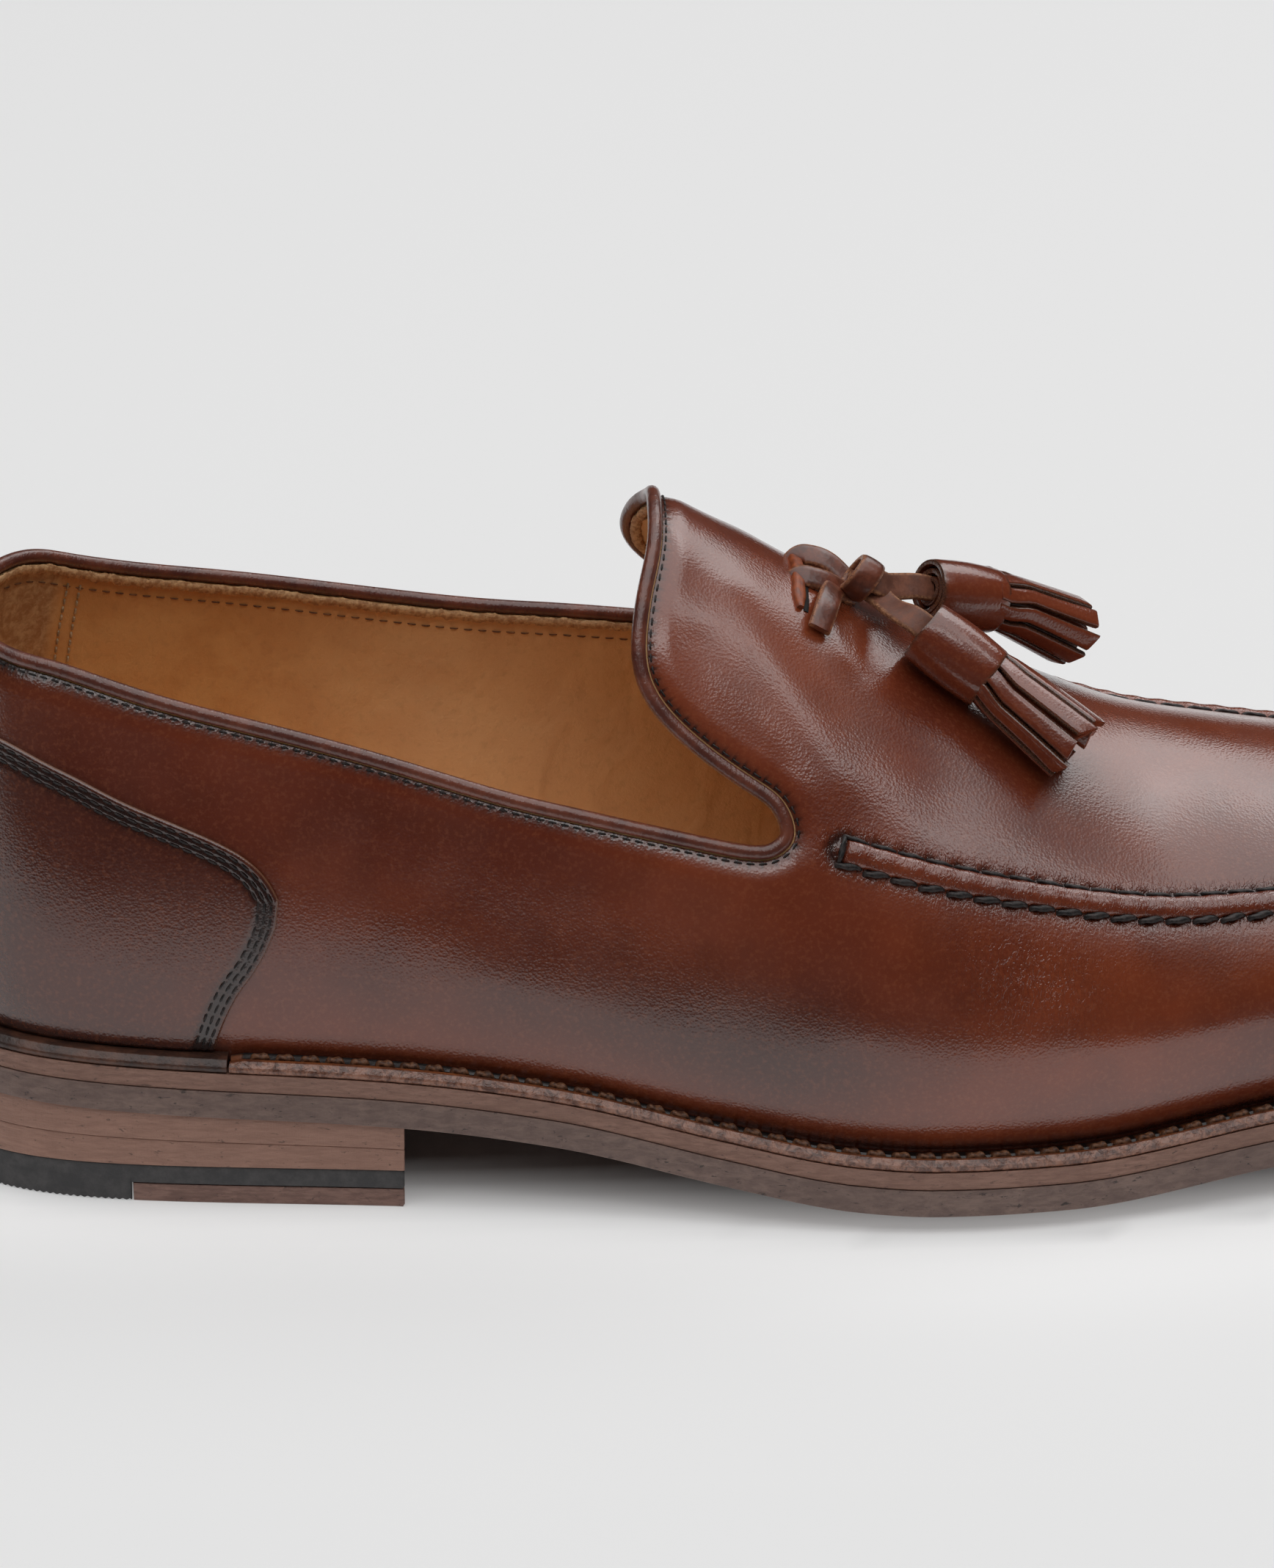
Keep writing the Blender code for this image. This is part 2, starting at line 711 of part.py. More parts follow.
def band(name, path, width, thick, material, collection):
    """A flat strap through a path of points, each with the normal that its broad side faces."""
    knots = range(len(path))
    route = [steady(knots, [place[axis] for place, _ in path]) for axis in range(3)]
    facing = [steady(knots, [normal[axis] for _, normal in path]) for axis in range(3)]
    last = len(path) - 1
    half, deep = width / 2, thick / 2
    section = (
        (-half, -deep / 2),
        (-half, deep / 2),
        (-half * 0.85, deep),
        (half * 0.85, deep),
        (half, deep / 2),
        (half, -deep / 2),
        (half * 0.85, -deep),
        (-half * 0.85, -deep),
    )
    rings = []
    for share in even_turns(0, last, 3 * last):
        place, ahead, behind = (
            np.array([curve(at) for curve in route])
            for at in (share, min(share + STEP, last), max(share - STEP, 0))
        )
        across, over = frame_along(unit(ahead - behind), np.array([curve(share) for curve in facing]))
        rings.append([place + across * a + over * b for a, b in section])
    return loft(name, rings, material, collection)


# The tie and the tassels lie on the vamp. Lift counts from the upper to the middle of the piece.
TIE_LIFT = GAP + TIE_THICK / 2
CAP_LIFT = GAP + CAP_RADIUS
TIE_BANDS = (
    # along, sway, lift as a share of the band's thickness over its seat
    ((0.462, -0.205, 0.0), (0.466, -0.130, 0.3), (0.470, -0.060, 1.6), (0.475, -0.020, 1.9)),
    ((0.456, 0.110, 0.0), (0.460, 0.050, 0.8), (0.467, 0.005, 1.9), (0.475, -0.035, 1.9)),
)
RING_AT = (0.495, -0.032)
RING_TALL = 0.0074
TASSELS = {
    # along, sway and lift over the cap's radius: cap's back, cap's front, fringe's end
    "lateral": ((0.525, -0.127, 1.0), (0.569, -0.178, 1.0), (0.620, -0.265, 0.95)),
    "medial": ((0.534, 0.012, 1.0), (0.577, 0.060, 1.35), (0.612, 0.110, 1.75)),
}


def frame_along(run, up):
    across = unit(np.cross(up, run))
    return across, unit(np.cross(run, across))


def tassel_points(name):
    return [perch(along, sway, GAP + CAP_RADIUS * share) for along, sway, share in TASSELS[name]]


def surface_normal(along, sway):
    return skin_normal(turn_of(along), 1 - abs(sway), LATERAL if sway <= 0 else MEDIAL)


def make_cap(name, paint, collection):
    """A strip wrapped round the head of the fringe into a short tube with soft ends."""
    back, front, _ = tassel_points(name)
    run = unit(front - back)
    across, over = frame_along(run, surface_normal(*TASSELS[name][0][:2]))
    rings = []
    for distance, share in ((0, 0.90), (0.05, 1.0), (0.95, 1.0), (1.0, 0.93)):
        centre = back + run * CAP_LENGTH * distance
        angles = [2 * pi * k / 16 for k in range(16)]
        rings.append([centre + CAP_RADIUS * share * (across * cos(a) + over * sin(a)) for a in angles])
    loft("tassel_cap_" + name, rings, paint["calf"], collection)


def make_fringe(name, paint, collection):
    """Strips round a core, fused where they touch it and free at their ends."""
    back, front, end = tassel_points(name)
    head = unit(front - back)
    start = back + head * (CAP_LENGTH + GAP)
    run = unit(end - start)
    at_cap = frame_along(head, surface_normal(*TASSELS[name][0][:2]))
    at_end = frame_along(run, surface_normal(*TASSELS[name][2][:2]))

    def spot(share, angle, radius, sideways=0.0):
        """A point of the flattened fringe: share of its length, angle round it, distance from its middle."""
        across, over = at_cap if share < FRINGE_BEND else at_end
        outward = across * cos(angle) + over * sin(angle) * FRINGE_SQUEEZE
        aside = over * cos(angle) * FRINGE_SQUEEZE - across * sin(angle)
        return start + run * FRINGE_LENGTH * share + outward * radius + aside * sideways

    core = []
    for share, size in ((0.012, 1.0), (0.88, 0.7)):
        core.append([spot(share, 2 * pi * k / 12, FRINGE_CORE * size) for k in range(12)])
    parts = [loft("core", core, paint["calf"], collection)]
    near = FRINGE_CORE + STRIP_THICK * 0.35
    far = CAP_RADIUS * STRIP_SPREAD - STRIP_THICK / 2
    for k in range(STRIPS):
        angle = 2 * pi * (k + 0.5) / STRIPS
        rings = []
        for share in (0, 0.45, 1.0):
            radius = near + (far - near) * share**1.3
            half, deep = STRIP_FILL * pi * radius / STRIPS, STRIP_THICK / 2
            corners = ((-1, -1), (1, -1), (1, 1), (-1, 1))
            rings.append([spot(share, angle, radius + deep * b, half * a) for a, b in corners])
        parts.append(loft("strip", rings, paint["calf"], collection))
    return fuse("tassel_fringe_" + name, parts, collection)


def fuse(name, parts, collection):
    """Joins bodies that overlap into one, with Boolean unions."""
    base = parts[0]
    for part in parts[1:]:
        join = base.modifiers.new("join", "BOOLEAN")
        join.operation = "UNION"
        join.object = part
    graph = bpy.context.evaluated_depsgraph_get()
    mesh = bpy.data.meshes.new_from_object(base.evaluated_get(graph))
    mesh.name = name
    fused = bpy.data.objects.new(name, mesh)
    collection.objects.link(fused)
    for part in parts:
        bpy.data.objects.remove(part)
    return fused


def make_tie(paint, collection):
    """Two bands out of slots in the vamp that cross over the ridge, fused where they cross."""
    bands = []
    for index, spots in enumerate(TIE_BANDS):
        path = [
            (perch(along, sway, TIE_LIFT + TIE_THICK * share), surface_normal(along, sway))
            for along, sway, share in spots
        ]
        bands.append(band(f"tie_band_{index}", path, TIE_WIDTH, TIE_THICK, paint["calf"], collection))
    fuse("tie_braid", bands, collection)


def ring_frame():
    """The wrap ring's middle, and its directions along the tie, across it and away from the vamp."""
    along, sway = RING_AT
    run = unit(perch(along + 0.02, sway - 0.03, 0) - perch(along, sway, 0))
    across, over = frame_along(run, surface_normal(along, sway))
    return perch(along, sway, GAP + RING_TALL / 2), run, across, over


def make_ring(paint, collection):
    """A strap's turn round the tie, standing across the ridge."""
    centre, run, across, over = ring_frame()
    rings = []
    for k in range(16):
        angle = 2 * pi * k / 16
        outward = across * cos(angle) * 0.85 + over * sin(angle)
        middle = centre + outward * (RING_TALL - RING_THICK) / 2
        corners = ((-0.5, -0.5), (0.5, -0.5), (0.5, 0.5), (-0.5, 0.5))
        rings.append([middle + run * RING_WIDTH * a + outward * RING_THICK * b for a, b in corners])
    loft("tie_ring", rings, paint["calf"], collection, closed=True)


def make_straps(paint, collection):
    """A strap from the ring's front to the back of each tassel's cap, one above the other at the ring."""
    centre, run, _, over = ring_frame()
    for name, level in (("lateral", -0.75), ("medial", 0.75)):
        back, front, _ = tassel_points(name)
        head = unit(front - back)
        up = surface_normal(*TASSELS[name][0][:2])
        start = centre + over * STRAP_THICK * level + run * (RING_WIDTH / 2 + GAP)
        end = back - head * GAP
        path = [
            (start, over),
            (start + run * STRAP_WIDTH / 3, over),
            (end - head * STRAP_WIDTH / 3, up),
            (end, up),
        ]
        band("tassel_strap_" + name, path, STRAP_WIDTH, STRAP_THICK, paint["calf"], collection)


def main():
    for old in list(bpy.data.objects):
        bpy.data.objects.remove(old)
    shoe = bpy.data.collections.new("tassel_loafer")
    cutters = bpy.data.collections.new("cutters")
    for made in (shoe, cutters):
        bpy.context.scene.collection.children.link(made)
    paint = {
        "calf": colour("calf", 0.15, 0.045, 0.020, 0.35),
        "piping": colour("piping", 0.055, 0.018, 0.012, 0.3),
        "lining": colour("lining", 0.38, 0.19, 0.07, 0.6),
        "welt": colour("welt", 0.22, 0.09, 0.035, 0.5),
        "rand": colour("rand", 0.05, 0.022, 0.014, 0.35),
        "midsole": colour("midsole", 0.20, 0.11, 0.07, 0.6),
        "outsole": colour("outsole", 0.10, 0.065, 0.05, 0.6),
        "lift": colour("lift", 0.21, 0.105, 0.065, 0.55),
        "rubber": colour("rubber", 0.035, 0.035, 0.035, 0.75),
        "insert": colour("insert", 0.14, 0.075, 0.055, 0.6),
    }
    make_sole(paint, shoe)
    make_heel(paint, shoe, cutters)
    make_insole(paint, shoe)
    make_upper(paint, shoe)
    make_counter(paint, shoe)
    make_apron_seam(paint, shoe)
    make_piping(paint, shoe)
    make_tie(paint, shoe)
    make_ring(paint, shoe)
    make_straps(paint, shoe)
    for name in TASSELS:
        make_cap(name, paint, shoe)
        make_fringe(name, paint, shoe)


main()
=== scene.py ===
"""The looks of a tassel loafer for the right foot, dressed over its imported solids.

Lengths are in metres in the row frame: X runs from heel to toe, Y from the outer (lateral) to the inner
(medial) side and Z up, with the origin on the heel's underside. A place on the upper is a turn along the
sole, from 0 at the heel's back to 1 at the toe, a rise up the last, from 0 on the feather line to 1 on the
ridge, and a side.
"""

from math import pi, radians

import bmesh
import bpy
import numpy as np
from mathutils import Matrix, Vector


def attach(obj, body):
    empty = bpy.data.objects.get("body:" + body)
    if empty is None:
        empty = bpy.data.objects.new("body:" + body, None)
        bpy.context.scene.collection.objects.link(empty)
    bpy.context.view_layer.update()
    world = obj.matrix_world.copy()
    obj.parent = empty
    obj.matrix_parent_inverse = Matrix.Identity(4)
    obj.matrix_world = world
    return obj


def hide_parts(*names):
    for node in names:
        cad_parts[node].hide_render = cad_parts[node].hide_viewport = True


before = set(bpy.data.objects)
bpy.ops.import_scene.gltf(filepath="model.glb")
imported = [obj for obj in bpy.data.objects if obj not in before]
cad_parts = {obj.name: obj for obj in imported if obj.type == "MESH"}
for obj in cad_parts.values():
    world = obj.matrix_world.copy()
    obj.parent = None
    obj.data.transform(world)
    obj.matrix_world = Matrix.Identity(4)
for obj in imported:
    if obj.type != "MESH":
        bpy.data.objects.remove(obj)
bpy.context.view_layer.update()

MM = 0.001

# The last and the sole, as in the part's source.
SOLE_LENGTH = 0.288
BALL_WIDTH = 0.104
INSTEP_HEIGHT = 0.104
ORIGIN_FROM_BACK = 0.038
HEEL_LENGTH = 0.0725
HEEL_HEIGHT = 0.0135
TOE_SPRING = 0.014
TOE_SWING = 0.005
EDGE_LIFT = 0.0028
OUTSOLE_THICK = 0.0042
MIDSOLE_THICK = 0.0027
WELT_THICK = 0.0018
WELT_SHOW = 0.0056
WELT_CHAMFER = 0.0009
WELT_JOINT = 0.046
TOP_LIFT_THICK = 0.006
TOP_LIFT_STEP = 0.003
TOP_LIFT_INSERT_BACK = 0.031
LIFT_INSET = 0.0010
TOP_LIFT_INSET = 0.0015
MIDSOLE_INSET = 0.0003
WELT_INSET = 0.0005
INSOLE_THICK = 0.0025
WALL = 0.0020
BULGE = 0.0034
SEAM_HEIGHT = 0.0015
PIPING = 0.0028
GAP = 0.0003
STRAP_WIDTH = 0.0042
STRAP_THICK = 0.0012
TIE_WIDTH = 0.0046
TIE_THICK = 0.0014
RING_WIDTH = 0.0046
RING_THICK = 0.0013
RING_TALL = 0.0074
CAP_RADIUS = 0.0057
CAP_LENGTH = 0.0130
FRINGE_LENGTH = 0.0172

LATERAL, MEDIAL = -1, 1
STEP = 1e-4
MERGE = 2e-7

# Stitch rows: how far from the edge that they follow, and the pitch along them.
RIM_STITCH, RIM_PITCH = 0.00035, 0.0019
SEAM_STITCH, SEAM_PITCH = 0.0021, 0.0044
# The calf's edge under the piping is thinned and rolls in.
RIM_ROLL, RIM_ROLL_WIDTH = 0.00095, 0.0034
MARK_REACH = 0.006

# The sole's edge on each side of the centre line, as a share of half the ball's width.
SOLE_EDGE = (
    # along, lateral, medial
    (0.000, 0.000, 0.000),
    (0.035, 0.415, 0.415),
    (0.105, 0.562, 0.560),
    (0.245, 0.662, 0.640),
    (0.380, 0.800, 0.640),
    (0.535, 0.990, 0.850),
    (0.700, 0.880, 0.960),
    (0.860, 0.720, 0.765),
    (0.950, 0.475, 0.510),
    (1.000, 0.000, 0.000),
)
# Height of the outsole's underside, as shares of the heel's height and of the toe spring, and how far its
# edge lifts.
UNDERSIDE = (
    # along, heel share, toe share, edge lift share
    (0.00, 1.22, 0.00, 0.00),
    (0.12, 1.11, 0.00, 0.00),
    (0.25, 1.00, 0.00, 0.00),
    (0.33, 0.77, 0.00, 0.32),
    (0.42, 0.32, 0.00, 0.75),
    (0.49, 0.05, 0.00, 0.95),
    (0.53, 0.00, 0.00, 1.00),
    (0.60, 0.00, 0.00, 1.00),
    (0.71, 0.00, 0.24, 0.95),
    (0.85, 0.00, 0.58, 0.50),
    (1.00, 0.00, 1.00, 0.00),
)
TREAD_FLAT = 0.42
WELT_ROOM = ((0.00, 0.80), (0.10, 0.80), (0.25, 0.80), (0.36, 0.76), (0.50, 1.00), (1.00, 1.08))
# The last's top line: share of the instep's height.
RIDGE = (
    # along, height
    (0.125, 1.230),
    (0.240, 1.200),
    (0.330, 1.100),
    (0.392, 0.992),
    (0.470, 0.862),
    (0.540, 0.745),
    (0.605, 0.655),
    (0.640, 0.612),
    (0.680, 0.582),
    (0.740, 0.550),
    (0.820, 0.510),
    (0.880, 0.470),
)
RIDGE_OFFSET = 0.003
# The last's ribs: each side's bulge, its height and how much the rib thins towards the ridge.
RIBS = (
    # along, lateral, medial, height, taper
    (0.00, 0.75, 0.75, 0.19, 0.10),
    (0.10, 0.70, 0.70, 0.19, 0.08),
    (0.25, 0.55, 0.45, 0.21, 0.05),
    (0.40, 0.80, 0.50, 0.19, 0.10),
    (0.55, 1.00, 0.80, 0.155, 0.20),
    (0.70, 1.00, 1.00, 0.135, 0.24),
    (0.85, 0.90, 0.90, 0.125, 0.10),
    (1.00, 0.80, 0.80, 0.115, 0.00),
)
FOOT_RISE = 0.05
BULGE_RISE = 0.25
# The collar and the tongue's edge, from the heel to the throat's corner and on to the ridge.
OPENING = (
    # along, lateral rise, medial rise
    (0.000, 0.495, 0.495),
    (0.030, 0.480, 0.510),
    (0.072, 0.471, 0.494),
    (0.154, 0.438, 0.466),
    (0.232, 0.412, 0.453),
    (0.308, 0.402, 0.472),
    (0.383, 0.424, 0.528),
    (0.420, 0.438, 0.552),
    (0.436, 0.449, 0.566),
    (0.446, 0.466, 0.580),
    (0.4535, 0.500, 0.606),
    (0.446, 0.538, 0.632),
    (0.425, 0.553, 0.648),
    (0.391, 0.581, 0.670),
    (0.373, 0.625, 0.704),
    (0.370, 0.690, 0.756),
    (0.371, 0.760, 0.812),
    (0.371, 0.860, 0.886),
    (0.362, 1.000, 1.000),
)
CORNER_ROW = 10
TIP_ROW = 18
# The raised seam round the apron, from its ends beside the throat to the toe.
SEAM = (
    # along, lateral rise, medial rise
    (0.479, 0.500, 0.640),
    (0.540, 0.506, 0.668),
    (0.600, 0.508, 0.690),
    (0.660, 0.507, 0.700),
    (0.720, 0.512, 0.696),
    (0.800, 0.545, 0.680),
    (0.880, 0.605, 0.680),
    (0.940, 0.675, 0.705),
    (0.975, 0.735, 0.745),
    (1.000, 0.780, 0.780),
)
# The counter's upper edge, and how its front edge slopes back towards the sole.
COUNTER_TOP = (
    # along, rise
    (0.000, 0.420),
    (0.034, 0.411),
    (0.073, 0.391),
    (0.109, 0.367),
    (0.144, 0.344),
    (0.168, 0.324),
    (0.179, 0.309),
    (0.186, 0.293),
    (0.190, 0.279),
)
COUNTER_FRONT = (
    # height, share of the front's reach
    (0.00, 0.885),
    (0.23, 0.906),
    (0.45, 0.934),
    (0.62, 0.965),
    (0.76, 0.985),
    (0.89, 0.997),
    (1.00, 1.000),
)
COUNTER_FOOT_RISE = 0.07


def cubic(knots, values):
    """A natural cubic spline through the points, for arrays."""
    x, y = np.asarray(knots, float), np.asarray(values, float)
    count, h = len(x), np.diff(x)
    matrix, right = np.eye(count), np.zeros(count)
    for i in range(1, count - 1):
        matrix[i, i - 1 : i + 2] = h[i - 1], 2 * (h[i - 1] + h[i]), h[i]
        right[i] = 6 * ((y[i + 1] - y[i]) / h[i] - (y[i] - y[i - 1]) / h[i - 1])
    bend = np.linalg.solve(matrix, right)

    def at(q):
        i = np.clip(np.searchsorted(x, q) - 1, 0, count - 2)
        ahead, behind = x[i + 1] - q, q - x[i]
        curved = (bend[i] * ahead**3 + bend[i + 1] * behind**3) / (6 * h[i])
        low = (y[i] / h[i] - bend[i] * h[i] / 6) * ahead
        return curved + low + (y[i + 1] / h[i] - bend[i + 1] * h[i] / 6) * behind

    return at


def steady(knots, values):
    """A smooth curve through the points that stays between neighbouring values, for arrays."""
    x, y = np.asarray(knots, float), np.asarray(values, float)
    h, slope = np.diff(x), np.diff(y) / np.diff(x)
    tangent = np.zeros(len(x))
    tangent[0], tangent[-1] = slope[0], slope[-1]
    for i in range(1, len(x) - 1):
        if slope[i - 1] * slope[i] > 0:
            before, after = 2 * h[i] + h[i - 1], h[i] + 2 * h[i - 1]
            tangent[i] = (before + after) / (before / slope[i - 1] + after / slope[i])

    def at(q):
        q = np.clip(q, x[0], x[-1])
        i = np.clip(np.searchsorted(x, q) - 1, 0, len(x) - 2)
        s = (q - x[i]) / h[i]
        start = y[i] * (1 + 2 * s) * (1 - s) ** 2 + h[i] * tangent[i] * s * (1 - s) ** 2
        return start + y[i + 1] * s * s * (3 - 2 * s) + h[i] * tangent[i + 1] * s * s * (s - 1)

    return at


def column(table, index):
    return [row[index] for row in table]


def turn_of(along):
    return np.arccos(np.clip(1 - 2 * np.asarray(along, float), -1, 1)) / pi


def along_of(turn):
    return (1 - np.cos(pi * np.asarray(turn, float))) / 2


def turns_of(table):
    return turn_of(column(table, 0))


def two_sides(curve, knots, table):
    return {LATERAL: curve(knots, column(table, 1)), MEDIAL: curve(knots, column(table, 2))}


def by_side(pair, side, at):
    return np.where(np.asarray(side) > 0, pair[MEDIAL](at), pair[LATERAL](at))


EDGE = two_sides(cubic, turns_of(SOLE_EDGE), SOLE_EDGE)
HEEL_SHARE, TOE_SHARE, LIFT_SHARE = (steady(column(UNDERSIDE, 0), column(UNDERSIDE, i)) for i in (1, 2, 3))
SWING = steady((0, 0.30, 0.60, 1.0), (0, 0, 0.55, 1.0))
WELT_SHARE = steady(column(WELT_ROOM, 0), column(WELT_ROOM, 1))
RIDGE_SHARE = cubic(column(RIDGE, 0), column(RIDGE, 1))
BULGE_SHARE = two_sides(steady, turns_of(RIBS), RIBS)
BULGE_HEIGHT, TAPER = (steady(turns_of(RIBS), column(RIBS, i)) for i in (3, 4))
OPENING_TURN = cubic(range(len(OPENING)), turns_of(OPENING))
OPENING_RISE = two_sides(cubic, range(len(OPENING)), OPENING)
SEAM_RISE = two_sides(steady, turns_of(SEAM), SEAM)
COUNTER_RISE = steady(turns_of(COUNTER_TOP), column(COUNTER_TOP, 1))
COUNTER_SLOPE = steady(column(COUNTER_FRONT, 0), column(COUNTER_FRONT, 1))


def unit(vectors):
    vectors = np.asarray(vectors, float)
    return vectors / np.maximum(np.linalg.norm(vectors, axis=-1, keepdims=True), 1e-12)


def path_length(path):
    """How far along the path each of its points lies."""
    return np.concatenate([[0], np.cumsum(np.linalg.norm(np.diff(path, axis=0), axis=1))])


def centre_line(along):
    return TOE_SWING * SWING(along)


def x_at(along):
    return SOLE_LENGTH * along - ORIGIN_FROM_BACK


def sole_edge(turn, side):
    along = along_of(turn)
    y = centre_line(along) + side * by_side(EDGE, side, turn) * BALL_WIDTH / 2
    return np.stack([x_at(along) + 0 * y, y], axis=-1)


def edge_inset(turn, side, inset):
    """A point of the sole's edge moved in by inset, square to the edge."""
    turn, side = np.broadcast_arrays(np.asarray(turn, float), np.asarray(side, float))
    run = unit(sole_edge(np.minimum(turn + STEP, 1), side) - sole_edge(np.maximum(turn - STEP, 0), side))
    inward = np.stack([run[..., 1] * side, -run[..., 0] * side], axis=-1)
    at_end = (turn < STEP) | (turn > 1 - STEP)
    straight = np.stack([np.where(turn < 0.5, 1.0, -1.0), np.zeros_like(turn)], axis=-1)
    inward = np.where(at_end[..., None], straight, inward)
    return sole_edge(turn, side) + np.asarray(inset)[..., None] * inward


def underside(x, y):
    """Height of the outsole's underside at a place in plan."""
    along = np.clip((x + ORIGIN_FROM_BACK) / SOLE_LENGTH, 0, 1)
    off = y - centre_line(along)
    half = by_side(EDGE, off, turn_of(along)) * BALL_WIDTH / 2
    across = np.where(half > STEP, np.minimum(np.abs(off) / np.maximum(half, STEP), 1), 0)
    lift = EDGE_LIFT * LIFT_SHARE(along) * (np.maximum(across - TREAD_FLAT, 0) / (1 - TREAD_FLAT)) ** 2
    return HEEL_HEIGHT * HEEL_SHARE(along) + TOE_SPRING * TOE_SHARE(along) + lift


def midsole_top(x, y):
    return underside(x, y) + OUTSOLE_THICK + GAP + MIDSOLE_THICK


def feather_inset(turn):
    return WELT_SHOW * WELT_SHARE(along_of(turn))


def feather(turn, side):
    """The foot of the upper, on the midsole."""
    spot = edge_inset(turn, side, feather_inset(turn))
    return np.concatenate([spot, (midsole_top(spot[..., 0], spot[..., 1]) + GAP)[..., None]], axis=-1)


def ridge_along(turn):
    return RIDGE[0][0] + (RIDGE[-1][0] - RIDGE[0][0]) * along_of(turn)


def ridge(turn):
    along = ridge_along(turn)
    y = centre_line(along) + RIDGE_OFFSET * SWING(along)
    return np.stack([x_at(along), y, INSTEP_HEIGHT * RIDGE_SHARE(along)], axis=-1)


def ridge_slope(turn):
    along = ridge_along(turn)
    rise = RIDGE_SHARE(along + STEP) - RIDGE_SHARE(along - STEP)
    return INSTEP_HEIGHT * rise / (2 * STEP * SOLE_LENGTH)


def last_skin(turn, rise, side):
    """The last's surface: a rib stands on the feather line, bulges and leans in to the ridge."""
    turn, rise, side = np.broadcast_arrays(*(np.asarray(a, float) for a in (turn, rise, side)))
    foot, top = feather(turn, side), ridge(turn)
    reach = foot[..., :2] - top[..., :2]
    far = np.linalg.norm(reach, axis=-1)
    out = unit(reach)
    foot_top = foot[..., 2] + WELT_THICK + GAP
    bulge = BULGE * by_side(BULGE_SHARE, side, turn)
    bulge_height = INSTEP_HEIGHT * BULGE_HEIGHT(turn)
    share = (rise - FOOT_RISE) / (BULGE_RISE - FOOT_RISE)
    low_z = foot_top + bulge_height * (1 - np.cos(share * pi / 2) + share) / 2
    low_q = far + bulge * np.sin(share * pi / 2)
    foot_z = foot[..., 2] + (WELT_THICK + GAP) * rise / FOOT_RISE
    angle = np.maximum(rise - BULGE_RISE, 0) / (1 - BULGE_RISE) * pi / 2
    taper, widest = TAPER(turn), far + bulge
    height = top[..., 2] - foot_top - bulge_height
    run_out = ridge_slope(turn) * out[..., 0] * widest * (1 - taper)
    high_q = widest * np.cos(angle) * (1 - taper * np.sin(angle) ** 2)
    high_z = foot_top + bulge_height + height * np.sin(angle) + run_out * np.cos(angle) * np.sin(angle) ** 2
    q = np.where(rise <= FOOT_RISE, far, np.where(rise <= BULGE_RISE, low_q, high_q))
    z = np.where(rise <= FOOT_RISE, foot_z, np.where(rise <= BULGE_RISE, low_z, high_z))
    return np.concatenate([top[..., :2] + out * q[..., None], z[..., None]], axis=-1)


def last_normal(turn, rise, side):
    turn, rise, side = np.broadcast_arrays(*(np.asarray(a, float) for a in (turn, rise, side)))
    rise = np.minimum(rise, 0.995)
    ahead, behind = np.minimum(turn + STEP, 1), np.maximum(turn - STEP, 0)
    along = last_skin(ahead, rise, side) - last_skin(behind, rise, side)
    up = last_skin(turn, rise + STEP, side) - last_skin(turn, np.maximum(rise - STEP, 0), side)
    return unit(np.cross(along, up) * -side[..., None])


# Soft creases and swells of the worn-in calf: each runs through places on one side, with a width and a height
# over the last in millimetres.
FOLDS = (
    # side, (along, rise) of its start, middle and end, width, height
    (LATERAL, ((0.420, 0.820), (0.445, 0.700), (0.470, 0.590)), 5.5, 0.55),
    (LATERAL, ((0.395, 0.690), (0.405, 0.620), (0.440, 0.570)), 3.2, -0.25),
    (LATERAL, ((0.505, 0.860), (0.530, 0.740), (0.540, 0.620)), 7.0, -0.50),
    (LATERAL, ((0.470, 0.900), (0.478, 0.840), (0.480, 0.790)), 3.0, 0.35),
    (LATERAL, ((0.560, 0.400), (0.620, 0.360), (0.680, 0.380)), 4.5, -0.22),
    (LATERAL, ((0.600, 0.300), (0.650, 0.280), (0.700, 0.300)), 4.5, 0.20),
    (LATERAL, ((0.230, 0.330), (0.300, 0.290), (0.380, 0.300)), 8.0, -0.45),
    (LATERAL, ((0.300, 0.200), (0.380, 0.180), (0.450, 0.200)), 7.0, 0.35),
    (MEDIAL, ((0.420, 0.860), (0.445, 0.780), (0.470, 0.700)), 5.5, 0.45),
    (MEDIAL, ((0.560, 0.500), (0.620, 0.470), (0.680, 0.490)), 4.5, -0.22),
    (MEDIAL, ((0.230, 0.330), (0.300, 0.290), (0.380, 0.300)), 8.0, -0.45),
)


def fold_path(side, spots):
    turns = turn_of(column(spots, 0))
    knots = np.arange(len(spots))
    fine = np.linspace(0, len(spots) - 1, 25)
    return last_skin(cubic(knots, turns)(fine), cubic(knots, column(spots, 1))(fine), side)


FOLD_PATHS = [(fold_path(side, spots), width * MM, height * MM) for side, spots, width, height in FOLDS]


def relief(points):
    """How far the folds raise the leather at points of the last."""
    flat = points.reshape(-1, 3)
    raised = np.zeros(len(flat))
    for path, width, height in FOLD_PATHS:
        low, high = path.min(axis=0) - 3 * width, path.max(axis=0) + 3 * width
        near = np.flatnonzero(((flat > low) & (flat < high)).all(axis=1))
        if not len(near):
            continue
        away = np.full(len(near), 1.0)
        for a, b in zip(path, path[1:]):
            along = np.clip((flat[near] - a) @ (b - a) / ((b - a) @ (b - a)), 0, 1)
            away = np.minimum(away, np.linalg.norm(flat[near] - a - along[:, None] * (b - a), axis=1))
        raised[near] += height * np.exp(-((away / width) ** 2))
    return raised.reshape(points.shape[:-1])


def on_leather(turn, rise, side, lift=0.0):
    """A point over the creased leather, and the last's normal there."""
    turn, rise, side = np.broadcast_arrays(*(np.asarray(a, float) for a in (turn, rise, side)))
    place, normal = last_skin(turn, rise, side), last_normal(turn, rise, side)
    return place + (relief(place) + lift)[..., None] * normal, normal


